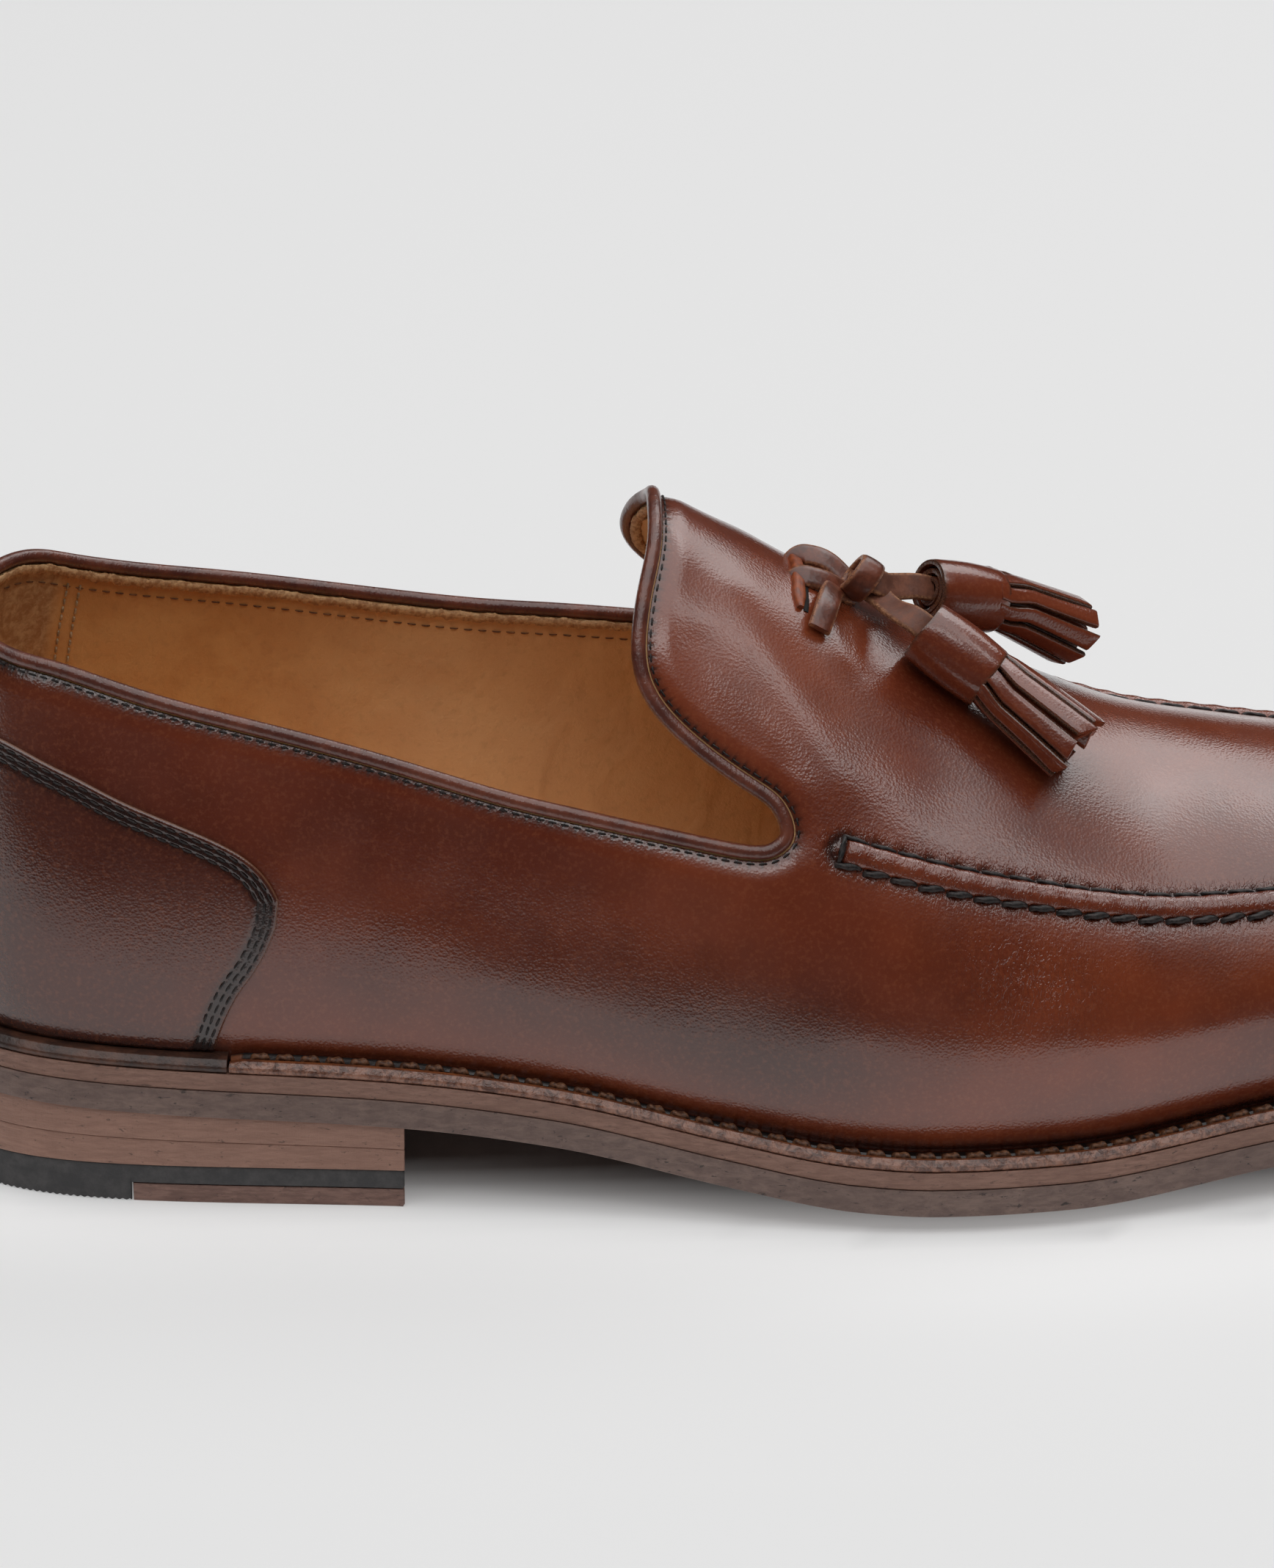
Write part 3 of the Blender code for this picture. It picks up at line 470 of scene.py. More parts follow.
def opening(row, side):
    """Turn and rise of the collar's edge at a row of its table."""
    return np.maximum(OPENING_TURN(row), 0), np.minimum(OPENING_RISE[side](row), 1)


def rim_at(rows, side):
    """The opening's edge: its points, outward normals and directions away from the leather."""
    rows = np.asarray(rows, float)

    def spot(row):
        """A point of the edge, on the other side where the row runs past the heel or the tongue's tip."""
        inside = np.clip(row, 0, TIP_ROW) - np.maximum(row - TIP_ROW, 0) + np.maximum(-row, 0)
        own = on_leather(*opening(inside, side), side)[0]
        other = on_leather(*opening(inside, -side), -side)[0]
        return np.where(((row < 0) | (row > TIP_ROW))[..., None], other, own)

    place, normal = on_leather(*opening(rows, side), side)
    run = unit(spot(rows + 0.01) - spot(rows - 0.01))
    return place, normal, unit(-side * np.cross(normal, run))


def grid_faces(rows, columns, first=0, wrap=False):
    """Quads between the points of a grid, stored row by row. Wrap joins the last row to the first."""
    last = rows if wrap else rows - 1
    i, j = np.meshgrid(np.arange(last), np.arange(columns - 1), indexing="ij")
    a, b = i * columns + j, ((i + 1) % rows) * columns + j
    return np.stack([a, a + 1, b + 1, b], axis=-1).reshape(-1, 4) + first


class Body:
    """A mesh in the making: points with a few numbers at each, and faces."""

    def __init__(self):
        self.points, self.faces, self.marks, self.count = [], [], {}, 0

    def grid(self, points, wrap=False, **marks):
        """Adds a grid of points (rows, columns, 3) and its quads."""
        rows, columns = points.shape[:2]
        self.faces.append(grid_faces(rows, columns, self.count, wrap))
        self.points.append(points.reshape(-1, 3))
        for name in set(marks) | set(self.marks):
            before = self.marks.setdefault(name, [np.zeros(self.count)] if self.count else [])
            before.append(np.broadcast_to(marks.get(name, 0.0), (rows, columns)).reshape(-1).astype(float))
        self.count += rows * columns

    def tube(self, rings, wrap=False, **marks):
        """Adds rings of points (count, around, 3) as a tube, with fans on its ends unless it wraps."""
        rings = np.concatenate([rings, rings[:, :1]], axis=1)
        marks = {name: np.asarray(value, float) for name, value in marks.items()}
        if not wrap:
            first, last = rings[0].mean(axis=0), rings[-1].mean(axis=0)
            first, last = (np.broadcast_to(end, rings[:1].shape) for end in (first, last))
            rings = np.concatenate([first, rings, last])
            marks = {name: np.concatenate([m[:1], m, m[-1:]]) if m.ndim else m for name, m in marks.items()}
        marks = {name: m[:, None] if m.ndim == 1 else m for name, m in marks.items()}
        self.grid(rings, wrap, **marks)

    def tubes(self, rings):
        """Adds many capped tubes of the same build at once: points (tubes, rings, around, 3)."""
        ends = np.broadcast_to(rings[:, [0, -1]].mean(axis=2, keepdims=True), rings[:, [0, -1]].shape)
        rings = np.concatenate([ends[:, :1], rings, ends[:, 1:]], axis=1)
        rings = np.concatenate([rings, rings[:, :, :1]], axis=2)
        tubes, count, around = rings.shape[:3]
        first = self.count + np.arange(tubes) * count * around
        self.faces.append((grid_faces(count, around)[None] + first[:, None, None]).reshape(-1, 4))
        self.points.append(rings.reshape(-1, 3))
        self.count += tubes * count * around

    def make(self, name, material, slot, *nodes, sharp=None):
        """The piece as an object, in place of the nodes; the slot is not used."""
        mesh = bpy.data.meshes.new(name)
        points, faces = np.concatenate(self.points), np.concatenate(self.faces)
        mesh.from_pydata(points.tolist(), [], faces.tolist())
        for mark, values in self.marks.items():
            layer = mesh.attributes.new(mark, "FLOAT", "POINT")
            layer.data.foreach_set("value", np.concatenate(values))
        work = bmesh.new()
        work.from_mesh(mesh)
        bmesh.ops.remove_doubles(work, verts=work.verts, dist=MERGE)
        bmesh.ops.dissolve_degenerate(work, edges=work.edges, dist=MERGE / 10)
        bmesh.ops.recalc_face_normals(work, faces=work.faces)
        work.to_mesh(mesh)
        work.free()
        mesh.materials.append(material)
        mesh.shade_smooth()
        if sharp:
            mesh.set_sharp_from_angle(angle=radians(sharp))
        made = bpy.data.objects.new(name, mesh)
        bpy.context.scene.collection.objects.link(made)
        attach(made, "root")
        if nodes:
            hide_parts(*nodes)


class Tree:
    """A material's nodes, made by short calls."""

    def __init__(self, name):
        self.material = bpy.data.materials.new(name)
        self.material.use_nodes = True
        self.nodes, self.links = self.material.node_tree.nodes, self.material.node_tree.links
        self.shader = self.nodes["Principled BSDF"]
        self.place = self.add("ShaderNodeTexCoord").outputs["Object"]

    def add(self, kind, settings=None, **inputs):
        node = self.nodes.new(kind)
        for key, value in (settings or {}).items():
            setattr(node, key, value)
        for key, value in inputs.items():
            self.put(node.inputs[key.replace("_", " ")], value)
        return node

    def put(self, socket, value):
        if isinstance(value, bpy.types.NodeSocket):
            self.links.new(value, socket)
        elif isinstance(value, tuple) and len(value) == 3 and socket.type == "RGBA":
            socket.default_value = (*value, 1)
        else:
            socket.default_value = value

    def math(self, operation, *values):
        node = self.add("ShaderNodeMath", {"operation": operation})
        for socket, value in zip(node.inputs, values):
            self.put(socket, value)
        return node.outputs[0]

    def mix(self, factor, first, second, blend="MIX"):
        node = self.add("ShaderNodeMix", {"data_type": "RGBA", "blend_type": blend})
        for index, value in ((0, factor), (6, first), (7, second)):
            self.put(node.inputs[index], value)
        return node.outputs[2]

    def ramp(self, value, low, high, to_low=0.0, to_high=1.0):
        node = self.add("ShaderNodeMapRange", {"interpolation_type": "SMOOTHSTEP"}, Value=value, From_Min=low,
                        From_Max=high, To_Min=to_low, To_Max=to_high)
        return node.outputs["Result"]

    def stretched(self, x, y, z):
        return self.add("ShaderNodeMapping", Vector=self.place, Scale=(x, y, z)).outputs[0]

    def noise(self, size, detail=3.0, roughness=0.5, distortion=0.0, vector=None):
        """Noise whose features are about size across."""
        node = self.add("ShaderNodeTexNoise", Vector=vector or self.place, Scale=1 / size, Detail=detail,
                        Roughness=roughness, Distortion=distortion)
        return node.outputs[0]

    def cells(self, size):
        """Distance to the middle of cells of about this size."""
        return self.add("ShaderNodeTexVoronoi", Vector=self.place, Scale=1 / size).outputs["Distance"]

    def mark(self, name):
        return self.add("ShaderNodeAttribute", {"attribute_name": name}).outputs["Fac"]

    def bump(self, height, depth, normal=None):
        """A bump whose height input of 1 stands for depth in metres."""
        inputs = {"Normal": normal} if normal else {}
        node = self.add("ShaderNodeBump", Height=height, Distance=depth, Strength=1.0, **inputs)
        return node.outputs[0]

    def finish(self, colour, roughness, normal=None, **constants):
        self.put(self.shader.inputs["Base Color"], colour)
        self.put(self.shader.inputs["Roughness"], roughness)
        if normal:
            self.put(self.shader.inputs["Normal"], normal)
            self.put(self.shader.inputs["Coat Normal"], normal)
        for key, value in constants.items():
            self.put(self.shader.inputs[key.replace("_", " ")], value)
        return self.material


def srgb(red, green, blue):
    """A colour given as it looks on a screen, from 0 to 255, as the light that the shader takes."""
    def linear(value):
        value /= 255
        return value / 12.92 if value <= 0.04045 else ((value + 0.055) / 1.055) ** 2.4
    return tuple(linear(value) for value in (red, green, blue))


def calf_leather(name, grain=1.0, cut=False):
    """Polished calf: reddish brown, with burnish, painted shade and painted highlights where marked, fine
    grain, creases and stitch puckers.
    """
    t = Tree(name)
    base = t.mix(t.ramp(t.noise(0.045, 3, 0.55), 0.35, 0.65), srgb(104, 44, 26), srgb(131, 60, 34))
    # Burnish, with painted shade low above the welt, darkens the calf where marked.
    base = t.mix(t.ramp(t.mark("burnish"), 0.0, 1.0), base, srgb(50, 26, 21))
    # Painted highlight: lighter reddish patches on the vamp's side below the seam and near the throat.
    base = t.mix(t.ramp(t.mark("glow"), 0.0, 1.0), base, srgb(138, 64, 30))
    base = t.mix(t.ramp(t.noise(0.009, 3, 0.5), 0.42, 0.68, 0.0, 0.16), base, srgb(62, 30, 22))
    base = t.mix(t.ramp(t.noise(0.0007, 2, 0.6), 0.45, 0.75, 0.0, 0.22), base, srgb(160, 92, 60))
    base = t.mix(t.ramp(t.mark("band"), 0.2, 1.0, 0.0, 0.72), base, srgb(40, 24, 21))
    base = t.mix(t.ramp(t.mark("counter_near"), 0.962, 0.985), base, srgb(120, 80, 60))
    pebbles = t.cells(0.00044)
    wrinkle = t.noise(0.00036, 2, 0.55, 0.3, vector=t.stretched(0.7, 0.7, 1.0))
    fine = t.noise(0.0002, 2, 0.5)
    relief = t.math("ADD", t.math("MULTIPLY", pebbles, 0.8), t.math("MULTIPLY", wrinkle, 0.45))
    relief = t.math("ADD", relief, t.math("MULTIPLY", fine, 0.25))
    strength = t.ramp(t.noise(0.02, 2, 0.5), 0.3, 0.7, 0.55 * grain, 1.0 * grain)
    normal = t.bump(t.math("MULTIPLY", relief, strength), 0.000042)
    net = t.noise(0.0012, 2, 0.5, 0.5, vector=t.stretched(1.7, 1.0, 0.7))
    net = t.ramp(t.math("ABSOLUTE", t.math("SUBTRACT", net, 0.5)), 0.0, 0.10)
    creases = t.math("MULTIPLY", t.math("SUBTRACT", net, 1.0), t.mark("crease"))
    normal = t.bump(creases, 0.00009, normal)
    # Painted shade in the crease lines.
    base = t.mix(t.math("MULTIPLY", creases, -0.25), base, srgb(40, 20, 16))
    rim_hole_shade, rim_bump = stitch_puckers(t, "rim", RIM_STITCH, RIM_PITCH, 0.0008)
    seam_hole_shade, seam_bump = stitch_puckers(t, "seam", SEAM_STITCH, SEAM_PITCH, 0.0009)
    # Painted shade in the stitch holes and along the rim's and the seam's stitch rows.
    base = t.mix(t.math("MULTIPLY", t.math("MAXIMUM", rim_hole_shade, seam_hole_shade), 0.8), base, srgb(28, 15, 13))
    normal = t.bump(t.math("ADD", t.math("MULTIPLY", rim_bump, 0.12), seam_bump), 0.00026, normal)
    if cut:
        base = t.mix(t.mark("cut"), base, t.mix(t.ramp(fine, 0.4, 0.6), srgb(66, 38, 28), srgb(104, 64, 44)))
    rough = t.ramp(t.noise(0.012, 3, 0.6), 0.3, 0.7, 0.20, 0.27)
    return t.finish(base, rough, normal, Coat_Weight=0.6, Coat_Roughness=0.10, Specular_IOR_Level=0.7)


def stitch_puckers(t, seam, row, pitch, width):
    """How much painted shade lies in the stitch holes and along a stitch row that runs row away from an edge,
    and how high the leather is beside it.
    """
    gap = t.math("MULTIPLY", t.math("SUBTRACT", 1.0, t.mark(seam + "_near")), MARK_REACH)
    off = t.math("DIVIDE", t.math("SUBTRACT", gap, row), width)
    beside = t.math("EXPONENT", t.math("MULTIPLY", t.math("MULTIPLY", off, off), -1.0))
    phase = t.math("COSINE", t.math("MULTIPLY", t.mark(seam + "_run"), 2 * pi / pitch))
    hole = t.math("MULTIPLY", t.ramp(phase, 0.2, 1.0), beside)
    wave = t.math("MULTIPLY", t.math("SUBTRACT", t.math("MULTIPLY", phase, -0.5), 0.5), beside)
    return t.math("MAXIMUM", t.math("MULTIPLY", beside, 0.35), hole), wave


def rough_leather(name, light, dark, cut_light, cut_dark, roughness, coat, fuzz):
    """Strap leather: mottled, with fibres in its cut sides and a fuzzy bump where its flesh side shows."""
    t = Tree(name)
    mottle = t.ramp(t.noise(0.0028, 5, 0.7), 0.36, 0.66)
    base = t.mix(mottle, dark, light)
    fibres = t.noise(0.0005, 4, 0.7, 0.6)
    sides = t.mix(t.ramp(fibres, 0.38, 0.62), cut_dark, cut_light)
    base = t.mix(t.mark("cut"), base, sides)
    base = t.mix(t.ramp(t.noise(0.0011, 3, 0.6), 0.52, 0.72, 0.0, 0.5), base, dark)
    grain = t.math("ADD", t.math("MULTIPLY", t.cells(0.0007), 0.6), t.math("MULTIPLY", fibres, fuzz))
    normal = t.bump(grain, 0.00004)
    rough = t.ramp(mottle, 0.0, 1.0, roughness - 0.06, roughness + 0.08)
    rough = t.math("ADD", rough, t.math("MULTIPLY", t.mark("cut"), 0.25))
    return t.finish(base, rough, normal, Coat_Weight=coat, Coat_Roughness=0.24)


def bead_leather():
    """Thin dark skin stretched over the cord, with fine wrinkles across it."""
    t = Tree("piping")
    base = t.mix(t.ramp(t.noise(0.006, 4, 0.6), 0.35, 0.7), srgb(84, 40, 30), srgb(118, 62, 44))
    wrinkle = t.noise(0.0011, 3, 0.6, 0.5, vector=t.stretched(1.5, 0.6, 0.8))
    relief = t.math("ADD", t.math("MULTIPLY", wrinkle, 1.0), t.math("MULTIPLY", t.noise(0.0004, 2, 0.5), 0.3))
    normal = t.bump(relief, 0.00014)
    return t.finish(base, 0.34, normal, Coat_Weight=0.6, Coat_Roughness=0.18)


def lining_leather():
    """Vegetable-tanned lining, with a napped suede grip at the heel where marked, and paler where marked: as
    painted light low on the lining, and on the insole's sock.
    """
    t = Tree("lining")
    base = t.mix(t.ramp(t.noise(0.014, 4, 0.55), 0.35, 0.68), srgb(206, 144, 82), srgb(224, 168, 104))
    # Paler where marked: painted light on the lining, a paler tone on the insole's sock.
    base = t.mix(t.mark("pale"), base, srgb(250, 208, 158))
    base = t.mix(t.ramp(t.noise(0.0016, 3, 0.6), 0.5, 0.75, 0.0, 0.12), base, srgb(128, 80, 42))
    suede = t.mix(t.ramp(t.noise(0.0016, 4, 0.7, 0.4), 0.35, 0.65), srgb(172, 124, 78), srgb(206, 164, 116))
    base = t.mix(t.mark("suede"), base, suede)
    base = t.mix(t.mark("shade"), base, srgb(58, 34, 22))
    frayed = t.mix(t.ramp(t.noise(0.0008, 3, 0.6), 0.35, 0.65), srgb(156, 106, 66), srgb(214, 170, 122))
    base = t.mix(t.math("MULTIPLY", t.mark("frayed"), 0.8), base, frayed)
    folds = t.noise(0.011, 2, 0.45, 1.0, vector=t.stretched(1.4, 1.0, 0.7))
    normal = t.bump(folds, 0.0007)
    hairs = t.math("MULTIPLY", t.mark("frayed"), t.noise(0.0003, 3, 0.7))
    fibres = t.math("ADD", t.noise(0.0006, 4, 0.7), hairs)
    normal = t.bump(fibres, 0.00012, normal)
    rough = t.math("ADD", 0.55, t.math("MULTIPLY", t.mark("suede"), 0.35))
    return t.finish(base, rough, normal, Coat_Weight=0.08, Coat_Roughness=0.4)


def thread_paint(name, dark, light, roughness):
    """Waxed thread, with its fibres across the lay."""
    t = Tree(name)
    base = t.mix(t.ramp(t.noise(0.0006, 3, 0.6), 0.35, 0.65), dark, light)
    return t.finish(base, roughness, t.bump(t.noise(0.00018, 3, 0.6), 0.00005))


def welt_leather():
    """The welt: orange-brown on top, with painted shade in its stitch groove between the threads and on its
    inner wall, and a shiny crinkled bevel.
    """
    t = Tree("welt")
    top = t.mix(t.ramp(t.noise(0.004, 5, 0.65), 0.35, 0.68), srgb(88, 46, 26), srgb(150, 84, 42))
    top = t.mix(t.ramp(t.noise(0.0010, 3, 0.6), 0.52, 0.72, 0.0, 0.5), top, srgb(66, 34, 22))
    bevel = t.mix(t.ramp(t.noise(0.0016, 4, 0.7, 0.8), 0.35, 0.65), srgb(86, 52, 40), srgb(158, 112, 92))
    base = t.mix(t.mark("edge"), top, bevel)
    # Painted shade in the groove between the threads, where the awl holes lie.
    hole = t.math("MULTIPLY", t.mark("groove"), t.ramp(t.mark("phase"), 0.35, -0.55))
    base = t.mix(hole, base, srgb(20, 12, 10))
    # Painted shade on the welt's inner wall, under the upper's foot.
    base = t.mix(t.mark("inner"), base, srgb(16, 10, 9))
    crinkle = t.noise(0.0013, 3, 0.6, 1.0)
    normal = t.bump(t.math("MULTIPLY", crinkle, t.math("ADD", 0.4, t.mark("edge"))), 0.00022)
    normal = t.bump(t.math("MULTIPLY", hole, -1.0), 0.0003, normal)
    rough = t.math("SUBTRACT", 0.46, t.math("MULTIPLY", t.mark("edge"), 0.18))
    return t.finish(base, rough, normal, Coat_Weight=0.35, Coat_Roughness=0.25)


def rand_leather():
    """The dark rand: blackened, glossy and uneven."""
    t = Tree("rand")
    base = t.mix(t.ramp(t.noise(0.005, 5, 0.7), 0.35, 0.7), srgb(50, 32, 26), srgb(100, 64, 48))
    normal = t.bump(t.noise(0.0026, 3, 0.6, 0.4), 0.00016)
    normal = t.bump(t.noise(0.0006, 3, 0.6), 0.00012, normal)
    return t.finish(base, 0.44, normal, Coat_Weight=0.25, Coat_Roughness=0.25)


def stacked_leather(name, light, dark, fleck, roughness, streak):
    """A cut and sanded leather edge: layers drawn out along it, flecks, and fine tool marks."""
    t = Tree(name)
    layers = t.noise(0.0034, 5, 0.7, 0.4, vector=t.stretched(*streak))
    base = t.mix(t.ramp(layers, 0.34, 0.68), dark, light)
    base = t.mix(t.ramp(t.noise(0.020, 3, 0.5), 0.4, 0.7, 0.0, 0.45), base, dark)
    flecks = t.noise(0.0013, 3, 0.7, 0.5, vector=t.stretched(0.7, 0.7, 1.8))
    base = t.mix(t.ramp(flecks, 0.60, 0.72, 0.0, 0.9), base, fleck)
    grain = t.math("ADD", layers, t.math("MULTIPLY", flecks, -0.6))
    marks = t.noise(0.0009, 3, 0.6, vector=t.stretched(3.0, 3.0, 0.5))
    normal = t.bump(t.math("ADD", grain, t.math("MULTIPLY", marks, 0.5)), 0.00016)
    rough = t.ramp(layers, 0.3, 0.7, roughness + 0.05, roughness - 0.08)
    return t.finish(base, rough, normal, Coat_Weight=0.12, Coat_Roughness=0.35)


def plain_finish(name, colour, dark, roughness, size=0.004, depth=0.00006):
    """A simple two-tone finish with a fine bump."""
    t = Tree(name)
    tone = t.mix(t.ramp(t.noise(size, 5, 0.65), 0.35, 0.7), dark, colour)
    normal = t.bump(t.noise(size / 4, 4, 0.6), depth)
    return t.finish(tone, t.ramp(t.noise(size, 3), 0.3, 0.7, roughness - 0.05, roughness + 0.07), normal)


STRAP_LEATHERS = (
    # paint, material, (light, dark, cut light, cut dark), (roughness, coat, fuzz)
    ("strap", "strap_calf", ((118, 58, 35), (84, 41, 27), (176, 116, 78), (112, 66, 42)), (0.36, 0.5, 0.2)),
    ("flesh", "strap_flesh", ((128, 76, 54), (98, 56, 40), (184, 132, 94), (120, 76, 52)), (0.6, 0.1, 1.2)),
)
SOLE_LEATHERS = (
    # paint, material, (light, dark, fleck), (roughness, streak)
    ("midsole", "midsole", ((156, 118, 102), (128, 94, 80), (84, 62, 54)), (0.55, (1.0, 1.0, 6.0))),
    ("outsole", "outsole", ((132, 108, 98), (106, 85, 78), (44, 35, 32)), (0.6, (1.0, 1.0, 3.0))),
    ("lift", "lift", ((166, 125, 107), (148, 110, 94), (96, 70, 59)), (0.55, (0.8, 0.8, 5.0))),
    ("insert", "insert", ((144, 110, 98), (116, 86, 76), (66, 49, 44)), (0.6, (1.0, 1.0, 6.0))),
)
THREADS = (
    # paint, material, (dark, light), (roughness,)
    ("black_thread", "black_thread", ((18, 15, 15), (52, 42, 40)), (0.5,)),
    ("grip_thread", "grip_thread", ((150, 118, 84), (196, 168, 130)), (0.6,)),
    ("lining_thread", "lining_thread", ((96, 60, 36), (140, 94, 58)), (0.6,)),
    ("welt_thread", "welt_thread", ((70, 42, 28), (124, 82, 54)), (0.5,)),
)
PAINTERS = (
    (rough_leather, STRAP_LEATHERS),
    (stacked_leather, SOLE_LEATHERS),
    (thread_paint, THREADS),
)


def make_paint():
    paint = {
        "calf": calf_leather("calf"),
        "tassel": calf_leather("tassel_calf", 0.7, cut=True),
        "piping": bead_leather(),
        "lining": lining_leather(),
        "slot": plain_finish("slot_edge", srgb(166, 82, 38), srgb(116, 54, 28), 0.42, 0.0016, 0.00005),
        # Painted shade for the slot's hollow.
        "hole": plain_finish("slot_painted_shade", srgb(20, 12, 10), srgb(12, 8, 7), 0.8),
        "welt": welt_leather(),
        "rand": rand_leather(),
        "rubber": plain_finish("rubber", srgb(82, 80, 80), srgb(60, 59, 60), 0.68, 0.003, 0.0001),
    }
    for painter, table in PAINTERS:
        for key, name, shades, numbers in table:
            paint[key] = painter(name, *(srgb(*shade) for shade in shades), *numbers)
    return paint


QUARTER_COUNT, LOWER_COUNT, TONGUE_COUNT, VAMP_COUNT, UPPER_COUNT = 112, 50, 22, 140, 56
LEATHER = 0.0011
LINING_TOP, LINING_WALL = 0.0012, 0.0008


def even_rows(first, last, count):
    """Rows of the opening's table, spaced evenly along its outer edge."""
    rows = np.linspace(first, last, 400)
    length = path_length(rim_at(rows, LATERAL)[0])
    return np.interp(np.linspace(0, length[-1], count + 1), length, rows)


def collar_rows(count):
    return even_rows(0, CORNER_ROW, count)


def tongue_rows(count):
    return even_rows(CORNER_ROW, TIP_ROW, count)


def rim_rows(collar, tongue):
    return np.concatenate([collar_rows(collar), tongue_rows(tongue)[1:]])


def knee_curve(side):
    """Rise of the mesh line that runs from the throat's corner along the apron seam."""
    corner_turn, corner_rise = opening(CORNER_ROW, side)
    return steady([corner_turn, *turns_of(SEAM)], [corner_rise, *column(SEAM, 1 if side < 0 else 2)])


def lower_rises(knee, count):
    foot = np.array([0.0, 0.5, 1.0]) * FOOT_RISE
    above = FOOT_RISE + (knee[:, None] - FOOT_RISE) * np.linspace(0, 1, count + 1)[1:]
    return np.concatenate([np.broadcast_to(foot, (len(knee), 3)), above], axis=1)


def upper_patches(side, scale=1.0):
    """Grids of (turn, rise) over one side: quarter, tongue and vamp, each with a row for a station."""
    quarter_n, lower_n, tongue_n, vamp_n, upper_n = (
        max(6, round(n * scale)) for n in (QUARTER_COUNT, LOWER_COUNT, TONGUE_COUNT, VAMP_COUNT, UPPER_COUNT)
    )
    turn, top = opening(collar_rows(quarter_n), side)
    rises = lower_rises(top, lower_n)
    quarter = np.stack([np.broadcast_to(turn[:, None], rises.shape), rises], axis=-1)
    corner_turn, corner_rise = opening(CORNER_ROW, side)
    edge_turn, edge_rise = opening(tongue_rows(upper_n), side)
    edge_rise = np.maximum(edge_rise, corner_rise)
    share = np.linspace(0, 1, tongue_n + 1)[:, None]
    turns = edge_turn + (corner_turn - edge_turn) * share
    tongue = np.stack([turns, np.broadcast_to(edge_rise, turns.shape)], axis=-1)
    turn = corner_turn + (1 - corner_turn) * np.linspace(0, 1, vamp_n + 1)
    knee = knee_curve(side)(turn)
    own = (edge_rise - corner_rise) / (1 - corner_rise)
    lateral = opening(tongue_rows(upper_n), LATERAL)[1]
    shared = (np.maximum(lateral, lateral[0]) - lateral[0]) / (1 - lateral[0])
    blend = np.linspace(0, 1, vamp_n + 1)[:, None]
    above = knee[:, None] + (1 - knee[:, None]) * (own + (shared - own) * blend)[:, 1:]
    rises = np.concatenate([lower_rises(knee, lower_n), above], axis=1)
    vamp = np.stack([np.broadcast_to(turn[:, None], rises.shape), rises], axis=-1)
    return quarter, tongue, vamp


def rolled(marks):
    """How far the calf's outer side sinks near the rim."""
    gap = (1 - marks["rim_near"]) * MARK_REACH
    return -RIM_ROLL * (1 - np.clip(gap / RIM_ROLL_WIDTH, 0, 1)) ** 1.6


def upper_shell(body, outer_lift, inner_lift, scale, marks_at, rim_out=0.0):
    """A skin of the upper between two lifts, closed round the opening and along the feather line."""
    for side in (LATERAL, MEDIAL):
        quarter_n, upper_n = max(6, round(QUARTER_COUNT * scale)), max(6, round(UPPER_COUNT * scale))
        rows = {"quarter": collar_rows(quarter_n), "tongue": tongue_rows(upper_n)}
        for name, patch in zip(("quarter", "tongue", "vamp"), upper_patches(side, scale)):
            turn, rise = patch[..., 0], patch[..., 1]
            place, normal = on_leather(turn, rise, side)
            marks = marks_at(turn, rise, side, place)
            lift = outer_lift(marks) if callable(outer_lift) else np.full(turn.shape, outer_lift)
            outer, inner = place + lift[..., None] * normal, place + inner_lift * normal
            body.grid(outer, **marks)
            body.grid(inner, **marks)
            if name != "tongue":
                foot = np.stack([outer[:, 0], inner[:, 0]], axis=1)
                body.grid(foot, **{key: np.stack([m[:, 0]] * 2, axis=1) for key, m in marks.items()})
            if name == "vamp":
                continue
            edge = (slice(None), -1) if name == "quarter" else (0, slice(None))
            away = rim_at(rows[name], side)[2]
            a, b = outer[edge], inner[edge]
            thick = np.linalg.norm(a - b, axis=-1).mean()
            reach = rim_out * away
            soft = 0.30 * thick * away
            middle = [a + (b - a) * share + reach + soft for share in (0.2, 0.8)]
            rim = np.stack([a, a + reach, *middle, b + reach, b], axis=1)
            body.grid(rim, **{key: np.stack([m[edge]] * 6, axis=1) for key, m in marks.items()})


def distance_to_path(points, path, reach):
    """Distance of points to a dense path, and how far along the path the nearest place lies."""
    flat, length = points.reshape(-1, 3), path_length(path)
    steps = np.diff(length)
    away, run = np.full(len(flat), reach), np.zeros(len(flat))
    low, high = path.min(axis=0) - reach, path.max(axis=0) + reach
    near = np.flatnonzero(((flat > low) & (flat < high)).all(axis=1))
    for part in np.array_split(near, max(1, len(near) * len(path) // 4_000_000 + 1)):
        gap = np.linalg.norm(flat[part][:, None] - path[None], axis=2)
        nearest = gap.argmin(axis=1)
        for step in (-1, 0):
            i = np.clip(nearest + step, 0, len(path) - 2)
            a, ab = path[i], path[i + 1] - path[i]
            share = np.clip(((flat[part] - a) * ab).sum(axis=1) / (ab * ab).sum(axis=1), 0, 1)
            d = np.linalg.norm(flat[part] - a - share[:, None] * ab, axis=1)
            better = d < away[part]
            away[part] = np.where(better, d, away[part])
            run[part] = np.where(better, length[i] + share * steps[i], run[part])
    return away.reshape(points.shape[:-1]), run.reshape(points.shape[:-1])


def rim_path(count=1400):
    """The opening's edge as one closed line, from the heel up the lateral side and back down the medial."""
    rows = rim_rows(count // 3, count // 6)
    lateral, medial = (rim_at(rows, side)[0] for side in (LATERAL, MEDIAL))
    return np.concatenate([lateral, medial[-2::-1]])


